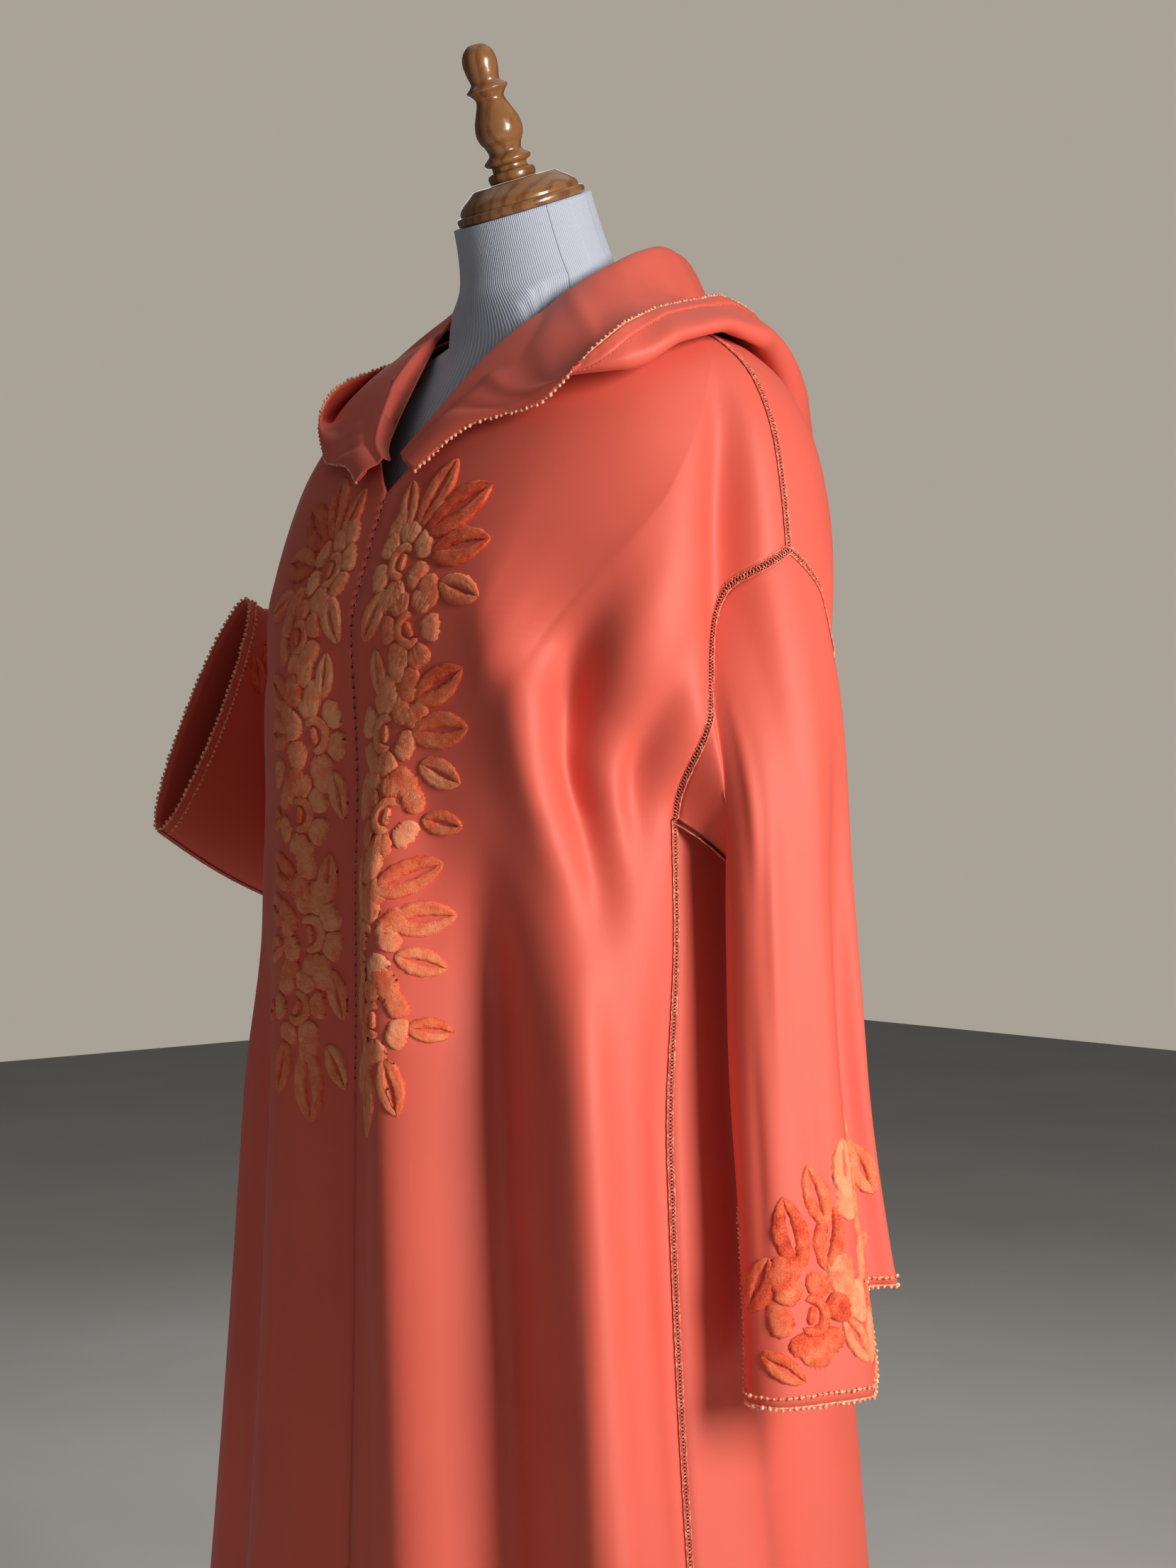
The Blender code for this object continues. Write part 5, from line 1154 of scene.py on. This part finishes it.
def formRows():
    turn = 2 * np.pi * np.arange(neck["around"] + 1) / neck["around"]
    across, ahead = (powered(way, neck["squareness"]) for way in (np.cos(turn), np.sin(turn)))
    rows = []
    for height in np.linspace(torso["height"][0], torso["height"][-1], neck["torsoRows"]):
        halfWidth, ridgeY, front, back = columnsAt(torso, height)
        rows.append(np.stack([halfWidth * across, ridgeY + np.where(ahead < 0, front, back) * ahead,
                              height + 0 * turn], -1))
    shares, radii = np.array(neckRings).T
    for share in np.linspace(0, 1, neck["neckRows"]):
        tilt = math.radians(neck["lean"]) * share
        middle = np.array(neck["foot"]) * (1 - share) + np.array(neck["top"]) * share
        ring = np.stack([np.cos(turn), np.sin(turn) * math.cos(tilt), np.sin(turn) * math.sin(tilt)], -1)
        rows.append(middle + through(shares, radii, share) * ring)
    rows = np.array(rows)
    first, last = neck["softFrom"], neck["softTo"]
    for _ in range(neck["softRounds"]):  # the shoulders run softly into the neck
        rows[first:last] += ((rows[first - 1:last - 1] + rows[first + 1:last + 1]) / 2 - rows[first:last]) / 2
    for row in rows[neck["fitFrom"]:]:  # and stay behind the robe
        for point in row:
            nearest, facing, _, distance = panelTree.find_nearest(Vector(point))
            height = (Vector(point) - nearest).dot(facing)
            if height > -neck["gap"] and distance < neck["near"]:
                point -= np.array(facing) * (height + neck["gap"])
    return rows


formGrid = formRows()[:, ::-1]
height, around = formGrid.shape[:2]
formFaces = cellCorners(height, around).tolist()
formFaces += [list(range(around - 1))[::-1], list(range((height - 1) * around, height * around - 1))]
ribs = np.linspace(0, neck["ribRound"], around)[None, :], neck["ribUp"] * np.arange(1, height + 1)[:, None]
jerseyUv = np.stack(np.broadcast_arrays(*ribs), -1).reshape(-1, 2)
dressForm = meshObject("dressForm", formGrid.reshape(-1, 3), formFaces, finish["jersey"], jerseyUv)
editAll(dressForm)
editDone(dressForm, mergeWithin)
handOver(dressForm, "dress_form")
formFacing, seamColumn = gridNormals(formGrid), int(around * neck["seamAt"])
for name, column in (("neckSeamLeft", seamColumn), ("neckSeamRight", around - 1 - seamColumn)):
    line = slice(neck["seamFrom"], None), column
    spots, ways, _ = evenly(formGrid[line], formFacing[line], neck["seamStep"])
    joined(name, [cordParts(spots, ways, neck["seamRadius"], 6)], finish["jersey"])

# Turned cap and finial on the leaning neck: distance up the axis and radius, in millimetres
capProfile = ((0.0, 0.0), (0.0, 47.0), (1.0, 48.4), (3.2, 48.9), (5.4, 48.4), (6.4, 47.2), (7.0, 45.2),
              (8.2, 45.2), (11.0, 44.2), (14.5, 41.0), (18.0, 36.4), (20.5, 33.0), (21.8, 31.0),
              (22.2, 17.4), (22.2, 0.0))
finialProfile = (
    (22.6, 0.0), (22.6, 16.6), (24.0, 17.6), (26.8, 17.9), (29.4, 16.8), (31.0, 13.4), (33.2, 13.0),
    (35.2, 16.6), (37.6, 17.7), (39.8, 16.0), (43.5, 12.3), (48.0, 13.6), (53.0, 16.4), (58.6, 17.6),
    (65.0, 16.8), (72.0, 14.2), (78.0, 11.6), (81.9, 10.6), (85.4, 12.6), (89.0, 15.6), (92.0, 12.8),
    (94.5, 10.8), (100.0, 11.9), (108.0, 12.8), (114.0, 11.6), (118.5, 8.6), (121.0, 4.4), (121.4, 0.0))


turned = {"seat": 0.0004, "steps": 72, "merge": 0.00002, "smoothAngle": 38.0}


def turnedWood(name, profile, node, perSpan):
    lean = math.radians(neck["lean"])
    along, up = np.array([0, -math.sin(lean), math.cos(lean)]), np.array([0, math.cos(lean), math.sin(lean)])
    middle = np.array(neck["top"]) + along * turned["seat"]
    profile = np.array(profile)
    length = runningLength(profile, 0)
    body = np.linspace(length[1], length[-2], perSpan * (len(profile) - 3))
    rises, radii = (through(length, profile[:, k], np.concatenate([[0], body, [length[-1]]])) / 1000
                    for k in (0, 1))
    points = middle + along * rises[:, None] + up * radii[:, None]
    made = meshObject(name, points, (), finish["wood"], lines=[(k, k + 1) for k in range(len(points) - 1)])
    editAll(made)
    bpy.ops.mesh.spin(steps=turned["steps"], angle=2 * math.pi, center=middle.tolist(), axis=along.tolist())
    bpy.ops.mesh.select_all(action="SELECT")
    editDone(made, turned["merge"])
    made.select_set(True)
    bpy.ops.object.shade_smooth_by_angle(angle=math.radians(turned["smoothAngle"]))
    handOver(made, node)


turnedWood("woodCap", capProfile, "neck_cap", 4)
turnedWood("woodFinial", finialProfile, "finial", 5)

# Stand: a round wooden base and a steel post, out of the photograph's frame
stand = {"baseTop": 0.022, "clear": 0.0004, "postTop": 0.7196, "collarHeight": 0.012, "smoothAngle": 35.0}


def roundStock(name, radius, foot, top, sides, material, bevelled=None):
    bpy.ops.mesh.primitive_cylinder_add(vertices=sides, radius=radius, depth=top - foot,
                                        location=(0, 0, (top + foot) / 2))
    made = bpy.context.object
    made.name = name
    bpy.ops.object.transform_apply(location=True, rotation=True, scale=True)
    if bevelled:
        bevel = made.modifiers.new("edge", "BEVEL")
        bevel.width, bevel.segments, bevel.limit_method = *bevelled, "ANGLE"
        bpy.ops.object.modifier_apply(modifier="edge")
    bpy.ops.object.shade_smooth_by_angle(angle=math.radians(stand["smoothAngle"]))
    made.data.materials.append(material)
    return made


seat = stand["baseTop"] + stand["clear"]
handOver(roundStock("standBase", 0.170, 0.0, stand["baseTop"], 128, finish["wood"], (0.0055, 5)),
         "base")
handOver(roundStock("standPost", 0.014, seat, stand["postTop"], 64, finish["steel"]), "post")
handOver(roundStock("standCollar", 0.024, seat, seat + stand["collarHeight"], 64, finish["steel"], (0.002, 4)))
print("dress form and stand made")
